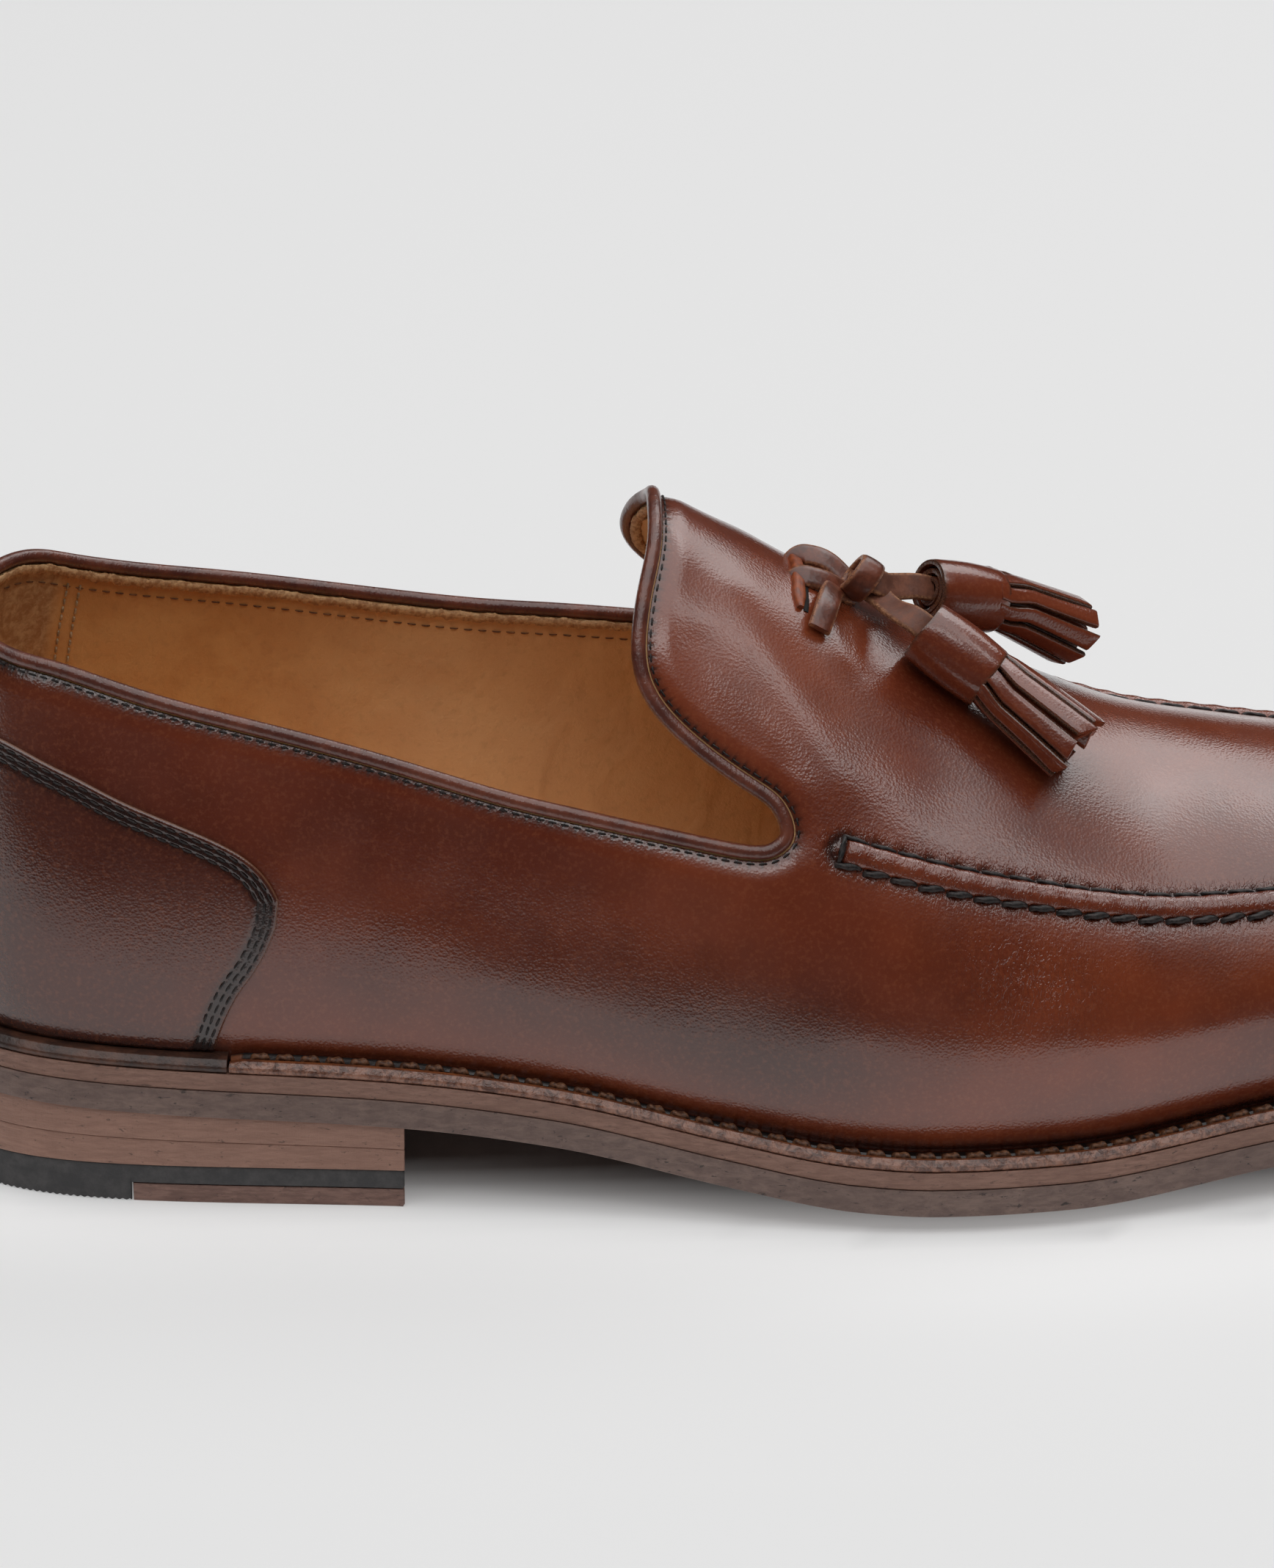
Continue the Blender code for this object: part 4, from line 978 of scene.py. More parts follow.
def seam_line(count):
    """Stations of the apron seam from its lateral end round the toe to its medial end."""
    turn = np.linspace(turns_of(SEAM)[0], 1, count // 2)
    turns = np.concatenate([turn, turn[-2::-1]])
    sides = np.concatenate([np.full(len(turn), LATERAL), np.full(len(turn) - 1, MEDIAL)])
    return turns, by_side(SEAM_RISE, sides, turns), sides


def bell(value, middle, width):
    return np.exp(-(((value - middle) / width) ** 2))


# The width of a patch that reaches over every rise.
ANY_RISE = 1e3
# Soft patches on the calf: darker ones (the heel, the toe and two low on the quarter), painted highlights,
# and creases.
DARKER_PATCHES, PAINTED_HIGHLIGHTS, CREASED = (
    (
        # amount, along and its width, rise and its width
        (0.55, 0.00, 0.10, 0.00, ANY_RISE),
        (0.30, 1.00, 0.10, 0.00, ANY_RISE),
        (0.45, 0.30, 0.14, 0.18, 0.10),
        (0.55, 0.45, 0.10, 0.22, 0.12),
    ),
    (
        (0.75, 0.80, 0.12, 0.38, 0.10),
        (0.40, 0.47, 0.05, 0.75, 0.20),
    ),
    (
        (0.60, 0.58, 0.05, 0.37, 0.07),
    ),
)


def patches(table, along, rise):
    """The sum of a table's soft patches."""
    total = 0 * rise
    for amount, middle, length, height, tall in table:
        total = total + amount * bell(along, middle, length) * bell(rise, height, tall)
    return total


def leather_marks(rim, seam):
    """Where the calf is burnished, carries painted shade and painted highlights, creases or lies near a seam.
    """
    rim_end = path_length(rim)[-1]

    def marks_at(turn, rise, side, place):
        along = along_of(turn)
        rim_gap, rim_run = distance_to_path(place, rim, MARK_REACH)
        seam_gap, seam_run = distance_to_path(place, seam, MARK_REACH)
        rim_run = np.where((side == MEDIAL) & (rim_run < 0.25 * rim_end), rim_end, rim_run)
        # Painted shade: the calf darkens low on the side, just above the welt, under the bulge. The patches,
        # the rim and the apron seam darken it too.
        low = np.clip(1 - rise / 0.10, 0, 1)
        burnish = 0.75 * low + patches(DARKER_PATCHES, along, rise)
        burnish = burnish + 0.35 * bell(rim_gap, 0, 0.0012) + 0.30 * bell(seam_gap, 0.001, 0.002)
        glow = patches(PAINTED_HIGHLIGHTS, along, rise)
        crease = patches(CREASED, along, rise) + 0.9 * bell(seam_gap, 0.0020, 0.0018)
        return {
            "burnish": np.clip(burnish, 0, 1),
            "glow": np.clip(glow, 0, 1),
            "crease": np.clip(crease, 0, 1),
            "rim_near": 1 - rim_gap / MARK_REACH,
            "rim_run": rim_run,
            "seam_near": 1 - seam_gap / MARK_REACH,
            "seam_run": seam_run,
        }

    return marks_at


def make_upper(paint):
    rim = rim_path()
    seam = on_leather(*seam_line(500))[0]
    body = Body()
    upper_shell(body, rolled, -LEATHER, 1.0, leather_marks(rim, seam))
    body.make("upper_leather", paint["calf"], "calf", "upper")
    body = Body()
    upper_shell(body, -LINING_TOP, -LINING_TOP - LINING_WALL, 0.6, lining_marks, 0.0002)
    body.make("upper_lining", paint["lining"], "lining", "upper")


BEAD_RADIUS = 0.40 * PIPING


def make_piping(paint):
    """The bead that lies on the rim of the opening all the way round."""
    rows = rim_rows(420, 180)
    rings = []
    angle = np.linspace(0, 2 * pi, 14, endpoint=False)
    for side in (LATERAL, MEDIAL):
        place, normal, away = rim_at(rows, side)
        centre = place - normal * WALL / 2 + away * (BEAD_RADIUS + GAP)
        ring = np.cos(angle)[None, :, None] * normal[:, None] + np.sin(angle)[None, :, None] * away[:, None]
        rings.append(centre[:, None] + BEAD_RADIUS * ring)
    body = Body()
    body.tube(np.concatenate([rings[0], rings[1][-2:0:-1]]), wrap=True)
    body.make("piping_bead", paint["piping"], "piping", "collar_piping")


def settle(points, turn, rise, side):
    """Turn and rise of the places of the upper that lie nearest to points, from a first guess."""
    side = np.asarray(side, float)
    for _ in range(4):
        place = last_skin(turn, rise, side)
        ahead = (last_skin(np.minimum(turn + STEP, 1), rise, side) - place) / STEP
        above = (last_skin(turn, np.minimum(rise + STEP, 1), side) - place) / STEP
        off = points - place
        aa, ab, bb = (ahead * ahead).sum(-1), (ahead * above).sum(-1), (above * above).sum(-1)
        oa, ob = (off * ahead).sum(-1), (off * above).sum(-1)
        scale = np.maximum(aa * bb - ab * ab, 1e-12)
        turn = np.clip(turn + (bb * oa - ab * ob) / scale, 0, 1 - STEP)
        rise = np.clip(rise + (aa * ob - ab * oa) / scale, 0, 1 - STEP)
    return turn, rise


def spaced(path, pitch, *others, start=0.5, end=0.5):
    """Stations at even distances along a path, their directions, and other values read there."""
    length = path_length(path)
    count = max(1, int(round((length[-1] - (start + end - 1) * pitch) / pitch)))
    at = np.linspace(start * pitch, length[-1] - end * pitch, count)

    def read(values):
        values = np.asarray(values, float)
        if values.ndim == 1:
            return np.interp(at, length, values)
        return np.stack([np.interp(at, length, values[:, k]) for k in range(values.shape[1])], axis=-1)

    run = np.gradient(path, axis=0)
    return (read(path), unit(read(run)), *(read(other) for other in others))


def stitch_phase(path, pitch, end):
    """1 beside each stitch of a row spaced along the path, and -1 between two."""
    length = path_length(path)
    count = max(1, int(round((length[-1] - (2 * end - 1) * pitch) / pitch)))
    step = (length[-1] - 2 * end * pitch) / max(count - 1, 1)
    return np.cos(2 * pi * (length - end * pitch) / step)


def stitches(
    body, centres, runs, normals, length, radius, lift=0.35, plies=1, lean=0.0, sides=8, rings=9, seed=1
):
    """Threads that rise out of the leather and dip back: one for each centre, along its run."""
    draw = np.random.default_rng(seed)
    count = len(centres)
    across = unit(np.cross(normals, runs))
    turn = lean + draw.normal(0, 0.035, count)
    runs, across = (
        runs * np.cos(turn)[:, None] + across * np.sin(turn)[:, None],
        across * np.cos(turn)[:, None] - runs * np.sin(turn)[:, None],
    )
    s = np.linspace(-1, 1, rings)
    angle = np.linspace(0, 2 * pi, sides, endpoint=False)
    arch = radius * (lift * (1 - s * s) - 0.75 * s**6)
    thick = radius * (1 - 0.35 * np.abs(s) ** 5)
    spread = length * (1 + draw.normal(0, 0.02, count))[:, None, None] / 2 * s[None, :, None]
    middle = centres[:, None] + runs[:, None] * spread + normals[:, None] * arch[None, :, None]
    phase = 0.0 if plies == 1 else 2.6 * s[:, None]
    lobes = 1.0 if plies == 1 else 1 + 0.20 * np.cos(2 * (angle[None] - phase))
    size = thick[:, None] * lobes * np.ones((rings, sides))
    flat = 0.85
    ring = (
        across[:, None, None] * (size * np.cos(angle))[None, ..., None]
        + normals[:, None, None] * (flat * size * np.sin(angle))[None, ..., None]
    )
    body.tubes(middle[:, :, None] + ring)


GRIP_EDGE = 0.0614
GRIP_ROWS = (0.0673, 0.0752)


def lining_marks(turn, rise, side, place):
    """The suede grip at the heel, the shaded step at its edge, and the paler lining near the ridge and, as
    painted light, low down from the middle forward.
    """
    along, low = along_of(turn), np.clip(1.35 - rise / 0.45, 0.35, 1)
    return {
        "suede": np.clip((GRIP_EDGE - along) / 0.002, 0, 1),
        "shade": 0.8 * bell(along, GRIP_EDGE + 0.001, 0.0016),
        # Painted light: paler low down from the middle forward, where light falls in from above.
        "pale": bell(rise, 1.0, 0.12) + np.clip((along - 0.16) / 0.13, 0, 0.95) * low,
    }


def make_lining_edge(paint):
    """The lining's raw edge that stands up frayed inside the bead, and the rows of thread on the lining."""
    draw = np.random.default_rng(7)
    rows = rim_rows(620, 300)
    body, thread, grip = Body(), Body(), Body()
    inside = LINING_TOP + LINING_WALL
    for side in (LATERAL, MEDIAL):
        place, normal, away = rim_at(rows, side)
        length = path_length(place)
        coarse = np.interp(length, np.linspace(0, length[-1], 160), draw.normal(0, 0.00010, 160))
        tall = 0.0007 + coarse + draw.normal(0, 0.00005, len(rows))
        ragged = -0.0009 + 1.6 * coarse + draw.normal(0, 0.00010, len(rows))
        seat = place - normal * (inside + 0.00015)
        thick = 0.0005
        corners = (
            # height over the rim, depth out of the lining
            (ragged, 0.0),
            (ragged, -0.3 * thick),
            (ragged + 0.0003, -thick),
            (0.0, -thick),
            (tall, -0.8 * thick),
            (tall, 0.0),
            (0.0, 0.0),
        )
        ring = [
            seat + away * (np.zeros(len(rows)) + up)[:, None] + normal * out
            for up, out in corners
        ]
        body.tube(np.stack(ring, axis=1), frayed=np.ones(len(rows)))
        row = place - away * 0.0026 - normal * (inside + 0.0001)
        centres, runs, normals = spaced(row, 0.0022, -normal)
        stitches(thread, centres, runs, unit(normals), 0.0013, 0.00013, 0.5, seed=90 + side)
        for along in GRIP_ROWS:
            turn = turn_of(along)
            last = float(np.interp(turn, *opening(np.linspace(0, CORNER_ROW - 2, 60), side)))
            rise = np.linspace(last - 0.012, 0.12, 160)
            line, up = on_leather(turn, rise, side, -(inside + 0.0001))
            centres, runs, normals = spaced(line, 0.0014, -up)
            stitches(grip, centres, runs, unit(normals), 0.0011, 0.00020, 0.5, seed=94 + side)
    body.make("lining_edge", paint["lining"], "lining")
    thread.make("lining_stitches", paint["lining_thread"], "lining")
    grip.make("grip_stitches", paint["grip_thread"], "lining")


def edge_of_counter(count=160):
    """The counter's free edge: up its lateral front, along its top and down its medial front."""
    heights, shares = np.linspace(0, 1, count // 4), np.linspace(-1, 1, count)
    share = np.concatenate([np.full(len(heights) - 1, -1.0), shares, np.full(len(heights) - 1, 1.0)])
    height = np.concatenate([heights[:-1], np.ones(count), heights[-2::-1]])
    return counter_place(share, height)


def counter_place(share, height):
    """Turn, rise and side of a place of the counter."""
    last = turn_of(COUNTER_TOP[-1][0])
    turn = np.abs(share) * last * (1 - (1 - COUNTER_SLOPE(height)) * np.abs(share))
    rise = COUNTER_FOOT_RISE + height * (COUNTER_RISE(np.abs(share) * last) - COUNTER_FOOT_RISE)
    rise = rise - 0.018 * (1 - height) ** 4
    return turn, rise, np.where(share < 0, LATERAL, MEDIAL)


COUNTER_ROWS = (0.0010, 0.0020, 0.0030)
COUNTER_PITCH = 0.0021
COUNTER_SKIN = 0.0009


def counter_lift(edge_gap):
    """Height of the counter over the calf, rounded at its edge and drawn in along its stitch rows."""
    rim = np.clip(edge_gap / 0.0007, 0, 1)
    lift = COUNTER_SKIN * (0.35 + 0.65 * np.sqrt(1 - (1 - rim) ** 2))
    for row in COUNTER_ROWS:
        lift = lift - 0.00022 * bell(edge_gap, row, 0.00038)
    return lift


def make_counter(paint):
    """The heel overlay with its three stitch rows."""
    turn, rise, side = edge_of_counter()
    edge = on_leather(turn, rise, side)[0]
    front = 1 - 0.07 * np.linspace(1, 0, 22) ** 1.2
    shares = np.concatenate([-front[::-1], np.linspace(-0.92, 0.92, 150), front])
    heights = np.concatenate([np.linspace(0, 0.80, 30), 1 - 0.19 * np.linspace(1, 0, 36) ** 1.15])
    share, height = np.meshgrid(shares, heights, indexing="ij")
    turn, rise, side = counter_place(share, height)
    place, normal = on_leather(turn, rise, side)
    gap = distance_to_path(place, edge, MARK_REACH)[0]
    outer = place + counter_lift(gap)[..., None] * normal
    inner = place + 0.00004 * normal
    along = along_of(turn)
    # Darker over the whole counter, at the heel's back and along the middle stitch row; the darkening low
    # above the welt is painted shade.
    burnish = 0.45 + 0.35 * bell(along, 0, 0.05) + 0.5 * np.clip(1 - rise / 0.1, 0, 1)
    burnish = burnish + 0.5 * bell(gap, COUNTER_ROWS[1], 0.0016)
    body = Body()
    marks = {
        "burnish": np.clip(burnish, 0, 1),
        "counter_near": 1 - gap / MARK_REACH,
        "band": bell(gap, COUNTER_ROWS[1], 0.0017),
    }
    body.grid(outer, **marks)
    body.grid(inner, **marks)
    for cut in ((0, slice(None)), (-1, slice(None)), (slice(None), 0), (slice(None), -1)):
        doubled = {key: np.stack([m[cut]] * 2, axis=1) for key, m in marks.items()}
        body.grid(np.stack([outer[cut], inner[cut]], axis=1), **doubled)
    body.make("counter_panel", paint["calf"], "calf", "heel_counter")
    thread = Body()
    turn, rise, side = edge_of_counter(600)
    edge, normal = on_leather(turn, rise, side)
    inward = unit(np.cross(normal, np.gradient(edge, axis=0)))
    inward = inward * np.where(inward[len(edge) // 2, 2] < 0, 1, -1)
    for index, row in enumerate(COUNTER_ROWS):
        t, r = settle(edge + row * inward, turn, np.clip(rise, 0.02, 1), side)
        place, up = on_leather(t, r, side, counter_lift(np.full(len(t), row)) + 0.00012)
        flat = on_leather(t, r, side)[0]
        keep = distance_to_path(flat, edge, MARK_REACH)[0] > 0.96 * row
        centres, runs, normals = spaced(place[keep], COUNTER_PITCH, up[keep])
        stitches(thread, centres, runs, unit(normals), COUNTER_PITCH * 0.74, 0.00015, 0.4, seed=10 + index)
    thread.make("counter_stitches", paint["black_thread"], "calf", "heel_counter")


ROLL_HALF = 0.0019


def make_apron_seam(paint):
    """The raised roll round the vamp between its two rows of heavy thread."""
    turn, rise, side = seam_line(900)
    place, normal = on_leather(turn, rise, side)
    run = unit(np.gradient(place, axis=0))
    across = unit(np.cross(normal, run))
    length = path_length(place)
    wave = np.cos(2 * pi * length / SEAM_PITCH)
    ends = np.clip(np.minimum(length, length[-1] - length) / 0.0012, 0, 1)
    tall = SEAM_HEIGHT * (0.90 - 0.05 * wave) * (0.25 + 0.75 * np.sqrt(1 - (1 - ends) ** 2))
    wide = ROLL_HALF * (1 - 0.03 * wave)
    theta = np.linspace(0, pi, 15)
    top = (
        place[:, None]
        + across[:, None] * (np.cos(theta)[None] * wide[:, None])[..., None]
        + normal[:, None] * (np.sin(theta)[None] ** 0.85 * tall[:, None] - 0.00015)[..., None]
    )
    body = Body()
    body.tube(top, crease=np.full(len(place), 0.4))
    body.make("apron_roll", paint["calf"], "calf", "apron_seam", sharp=60)
    thread = Body()
    for index, (out, radius, lean) in enumerate(((1, 0.00034, -0.04), (-1, 0.00050, 0.16))):
        row = place + across * out * (ROLL_HALF + radius * 0.55)
        t, r = settle(row, turn, rise, side)
        seat, up = on_leather(t, r, side, radius * 0.55)
        centres, runs, normals = spaced(seat, SEAM_PITCH, up, start=0.3, end=0.3)
        signed = np.where(np.arange(len(centres)) < len(centres) / 2, lean, -lean)
        length = SEAM_PITCH * 0.96
        stitches(thread, centres, runs, unit(normals), length, radius, 0.35, 2, signed, 10, 13, 20 + index)
    for end in (0, -1):
        up, out, length = normal[[end]], run[[end]] * (-1 if end == 0 else 1), 2.3 * ROLL_HALF
        centres = place[[end]] + 0.4 * MM * (up + out)
        stitches(thread, centres, across[[end]], up, length, 0.00042, 0.8, 2, 0.0, 10, 13, 30 - end)
    thread.make("apron_stitches", paint["black_thread"], "calf", "apron_seam")


def make_rim_stitches(paint):
    """The thread that holds the piping, in the groove between the bead and the calf's edge."""
    thread = Body()
    rows = rim_rows(400, 200)
    for side in (LATERAL, MEDIAL):
        place, normal, away = rim_at(rows, side)
        sunk = RIM_ROLL * (1 - RIM_STITCH / RIM_ROLL_WIDTH) ** 1.6 - 0.00012
        seat = place - away * RIM_STITCH - normal * sunk
        centres, runs, normals = spaced(seat, RIM_PITCH, unit(normal + 0.6 * away))
        stitches(thread, centres, runs, unit(normals), RIM_PITCH * 0.66, 0.00014, 0.4, seed=40 + side)
    thread.make("rim_stitches", paint["black_thread"], "piping", "collar_piping")


def ring_section(turn, side, inset, height):
    """Points of sections of the welt or rand: insets from the sole's edge and heights over the midsole."""
    spot = edge_inset(turn[:, None], side[:, None], inset)
    base = midsole_top(spot[..., 0], spot[..., 1]) + GAP
    return np.concatenate([spot, (base + height)[..., None]], axis=-1)


def welt_stations(first, last, count, toe):
    """Turns and sides from one end of a strip to the other, round the toe or round the heel."""
    turn = np.linspace(first, last, count)
    path = np.concatenate([turn, turn[-2::-1]] if toe else [turn[::-1], turn[1:]])
    return path, np.concatenate([np.full(count, LATERAL), np.full(count - 1, MEDIAL)])


WELT_LIP, WELT_GROOVE = 0.0006, 0.00045
WELT_PITCH, WELT_END = 0.0038, 1.2


def welt_profile(turn, grooved):
    """Insets and heights of the welt's section at each station, from its foot outside to its foot inside."""
    inner = feather_inset(turn) - 0.00012
    edge = WELT_INSET + 0 * turn
    top = edge + WELT_CHAMFER
    lip = top + WELT_LIP
    floor = np.minimum(lip + 0.0016, inner - 0.0003)
    deep = WELT_GROOVE if grooved else 0.0
    section = (
        # inset, height
        (edge + 0.0003, -0.00025),
        (edge, 0.00005),
        (edge, WELT_THICK - WELT_CHAMFER - 0.15 * MM),
        (edge + 0.15 * MM, WELT_THICK - WELT_CHAMFER),
        (top - 0.2 * MM, WELT_THICK - 0.12 * MM),
        (top, WELT_THICK),
        (lip, WELT_THICK - 0.05 * MM),
        (lip + 0.3 * MM, WELT_THICK - deep),
        (floor - 0.3 * MM, WELT_THICK - deep),
        (floor, WELT_THICK - 0.1 * MM),
        (inner, WELT_THICK),
        (inner, -0.00025),
    )
    insets, heights = zip(*section)
    return np.stack(insets, axis=1), np.array(heights) + 0 * edge[:, None]


def make_welt(paint):
    """The welt with its heavy stitches, and the plain rand round the heel."""
    joint = float(turn_of(WELT_JOINT / SOLE_LENGTH))
    strips = (
        # name, round the toe, node, slot, from, to, stations
        ("welt_strip", True, "welt", "welt", joint, 1, 460),
        ("heel_rand_strip", False, "heel_rand", "rand", 0, joint - 0.0012, 130),
    )
    for name, toe, node, slot, first, last, count in strips:
        turn, side = welt_stations(first, last, count, toe)
        inset, height = welt_profile(turn, toe)
        if toe:
            station = np.arange(len(turn))
            taper = np.clip(np.minimum(station, station[::-1]) / 4, 0, 1)
            height = np.where(height > 0.001, height - 0.0005 * (1 - taper[:, None]), height)
        rings = ring_section(turn, side, inset, height)
        column = np.arange(rings.shape[1] + 1) % rings.shape[1]
        phase = stitch_phase(rings[:, 8], WELT_PITCH, WELT_END)[:, None]
        marked = {"groove": column >= 7, "edge": column < 5, "phase": phase, "inner": column >= 10}
        shape = (len(rings), len(column))
        body = Body()
        body.tube(rings, **{key: np.broadcast_to(mark, shape) for key, mark in marked.items()})
        body.make(name, paint[slot], slot, node, sharp=50)
    turn, side = welt_stations(joint, 1, 700, True)
    inner = feather_inset(turn) - 0.00012
    lip = WELT_INSET + WELT_CHAMFER + WELT_LIP
    middle = (lip + np.minimum(lip + 0.0016, inner - 0.0003)) / 2
    row = ring_section(turn, side, middle[:, None], np.full((len(turn), 1), WELT_THICK - 0.00005))[:, 0]
    thread = Body()
    centres, runs = spaced(row, WELT_PITCH, start=WELT_END, end=WELT_END)
    up = np.broadcast_to(np.array([0.0, 0.0, 1.0]), centres.shape)
    stitches(thread, centres, runs, up, WELT_PITCH * 0.80, 0.00062, 0.25, 2, 0.10, 12, 13, 50)
    thread.make("welt_stitches", paint["welt_thread"], "welt", "welt")


SOFT_CORNER = np.array([1.0, 0.5, 0.134, 0.0])
SOFT_DROP = np.array([0.0, 0.134, 0.5, 1.0])
ACROSS = np.array([-0.9, -0.7, -0.45, -0.2, 0.0, 0.2, 0.45, 0.7, 0.9])


def layer(body, turns, inset, low, high, soften, front=None, change=None, walls=6, **marks):
    """A layer across the sole between two heights, with soft edges and, where front is given, a flat face."""
    extra = np.zeros(len(turns))
    if front is not None:
        turns = np.concatenate([turns, np.full(3, turns[-1])])
        extra = np.concatenate([extra, soften * SOFT_CORNER[::-1][1:]])
    sides = {}
    for side in (LATERAL, MEDIAL):
        steps = np.concatenate([SOFT_CORNER, np.zeros(walls), SOFT_CORNER[::-1]]) * soften
        spot = edge_inset(turns[:, None], side, inset + extra[:, None] + steps)
        if front is not None:
            limit = front - soften + np.concatenate([np.zeros(len(turns) - 3), soften * SOFT_DROP[1:]])
            spot[..., 0] = np.minimum(spot[..., 0], limit[:, None])
            spot[-3:, :, 0] = limit[-3:, None]
        top = high(spot[..., 0], spot[..., 1]) - extra[:, None]
        bottom = low(spot[..., 0], spot[..., 1]) + extra[:, None]
        share = np.linspace(0, 1, walls + 2)[1:-1]
        between = (top - soften)[:, 4:-4] * (1 - share) + (bottom + soften)[:, 4:-4] * share
        heights = [top[:, :4] - SOFT_DROP * soften, between, bottom[:, -4:] + SOFT_DROP[::-1] * soften]
        sides[side] = np.concatenate([spot, np.concatenate(heights, axis=1)[..., None]], axis=-1)
    faces = []
    for level, height, sign in ((0, high, -1), (-1, low, 1)):
        first, last = sides[LATERAL][:, level, :2], sides[MEDIAL][:, level, :2]
        share = (1 + ACROSS[None, :, None]) / 2
        flat = first[:, None] * (1 - share) + last[:, None] * share
        z = height(flat[..., 0], flat[..., 1]) + sign * extra[:, None]
        faces.append(np.concatenate([flat, z[..., None]], axis=-1))
    rings = np.concatenate([faces[0], sides[MEDIAL], faces[1][:, ::-1], sides[LATERAL][:, ::-1]], axis=1)
    body.tube(rings if change is None else change(rings), **marks)


def turns_to(length, count):
    """Turns from the heel's back to a distance from it."""
    return np.linspace(0, float(turn_of(length / SOLE_LENGTH)), count)


TOOTH, TOOTH_DEPTH = 0.0011, 0.00035


def cut_teeth(rings):
    """Serrates the lower edge of the rubber."""
    edge = rings[:, len(ACROSS) + 3]
    length = path_length(edge)
    cut = TOOTH_DEPTH * np.abs(2 * ((length / TOOTH) % 1) - 1)[:, None]
    low = rings[..., 2] < TOOTH_DEPTH
    rings[..., 2] = np.where(low, np.maximum(rings[..., 2], cut), rings[..., 2])
    return rings


def make_sole(paint):
    """The outsole and midsole, the heel's lifts and its top piece."""
    whole = np.linspace(0, 1, 181)
    front, base = HEEL_LENGTH - ORIGIN_FROM_BACK, TOP_LIFT_THICK + GAP
    heel = turns_to(HEEL_LENGTH, 70)

    def stack(share, more=0.0):
        return lambda x, y: base + share * (underside(x, y) - GAP - base) + more

    def level(height):
        return lambda x, y: height + 0 * x

    def outsole_top(x, y):
        return underside(x, y) + OUTSOLE_THICK + GAP / 3

    def midsole_low(x, y):
        return midsole_top(x, y) - MIDSOLE_THICK - GAP / 3

    layers = (
        # name, turns, inset, low, high, softened by, flat face, material and slot, node
        ("outsole_layer", whole, 0.0, underside, outsole_top, 0.0002, None, "outsole", "outsole"),
        ("midsole_layer", whole, MIDSOLE_INSET, midsole_low, midsole_top, 0.00015, None, "midsole",
         "midsole"),
        ("lift_upper_layer", heel, 0.6 * LIFT_INSET, stack(0.5, GAP / 12), stack(1, GAP * 0.9), 0.00012,
         front, "lift", "heel_lift_upper"),
        ("lift_lower_layer", heel, 0.75 * LIFT_INSET, stack(0, -GAP / 2), stack(0.5, -GAP / 12), 0.00012,
         front, "lift", "heel_lift_lower"),
    )
    for name, turns, inset, low, high, soften, face, slot, node in layers:
        body = Body()
        layer(body, turns, inset, low, high, soften, face)
        body.make(name, paint[slot], slot, node, sharp=50)
    body, inset = Body(), 0.7 * TOP_LIFT_INSET
    step = TOP_LIFT_INSERT_BACK - ORIGIN_FROM_BACK
    layer(body, heel, inset, level(TOP_LIFT_STEP), level(TOP_LIFT_THICK + GAP / 2), 0.0003, front)
    back = turns_to(TOP_LIFT_INSERT_BACK, 300)
    layer(body, back, inset, level(0.0), level(TOP_LIFT_STEP + MM), 0.0002, step, cut_teeth)
    body.make("toplift_rubber_body", paint["rubber"], "rubber", "toplift_rubber", sharp=40)
    body = Body()
    first = float(turn_of((TOP_LIFT_INSERT_BACK + 0.1 * GAP) / SOLE_LENGTH))
    turns = np.linspace(first, heel[-1], 30)
    layer(body, turns, inset, level(0.0), level(TOP_LIFT_STEP - GAP / 3), 0.0003, front)
    body.make("toplift_insert_body", paint["insert"], "insert", "toplift_insert", sharp=50)
    body = Body()
    turns = np.linspace(0, 1, 121)
    layer(body, turns, feather_inset(turns)[:, None] + WALL + GAP, lambda x, y: midsole_top(x, y) + GAP,
          lambda x, y: midsole_top(x, y) + GAP + INSOLE_THICK, 0.0005, pale=0.8)
    body.make("insole_sock", paint["lining"], "lining", "insole", sharp=50)


def perch(along, sway, lift):
    """A place over the upper. Sway runs from -1 at the outer feather line to 1 at the inner one."""
    turn, rise = turn_of(along), 1 - abs(sway)
    side = LATERAL if sway <= 0 else MEDIAL
    return last_skin(turn, rise, side) + lift * last_normal(turn, rise, side)


def facing(along, sway):
    return last_normal(turn_of(along), 1 - abs(sway), LATERAL if sway <= 0 else MEDIAL)


def frame_along(run, up):
    across = unit(np.cross(up, run))
    return across, unit(np.cross(run, across))


def soft_box(around, power=5.0):
    """Points round a unit square with soft corners."""
    angle = np.linspace(0, 2 * pi, around, endpoint=False) + pi / around
    a, b = np.cos(angle), np.sin(angle)
    size = (np.abs(a) ** power + np.abs(b) ** power) ** (-1 / power)
    return a * size / 2, b * size / 2


def cut_sides(a, rows, start=0.40, soft=0.06):
    """Marks the cut sides of a strip's rings, and closes each ring with its first point."""
    cut = np.clip((np.abs(a) - start) / soft, 0, 1)
    return np.broadcast_to(np.append(cut, cut[0]), (rows, len(a) + 1))


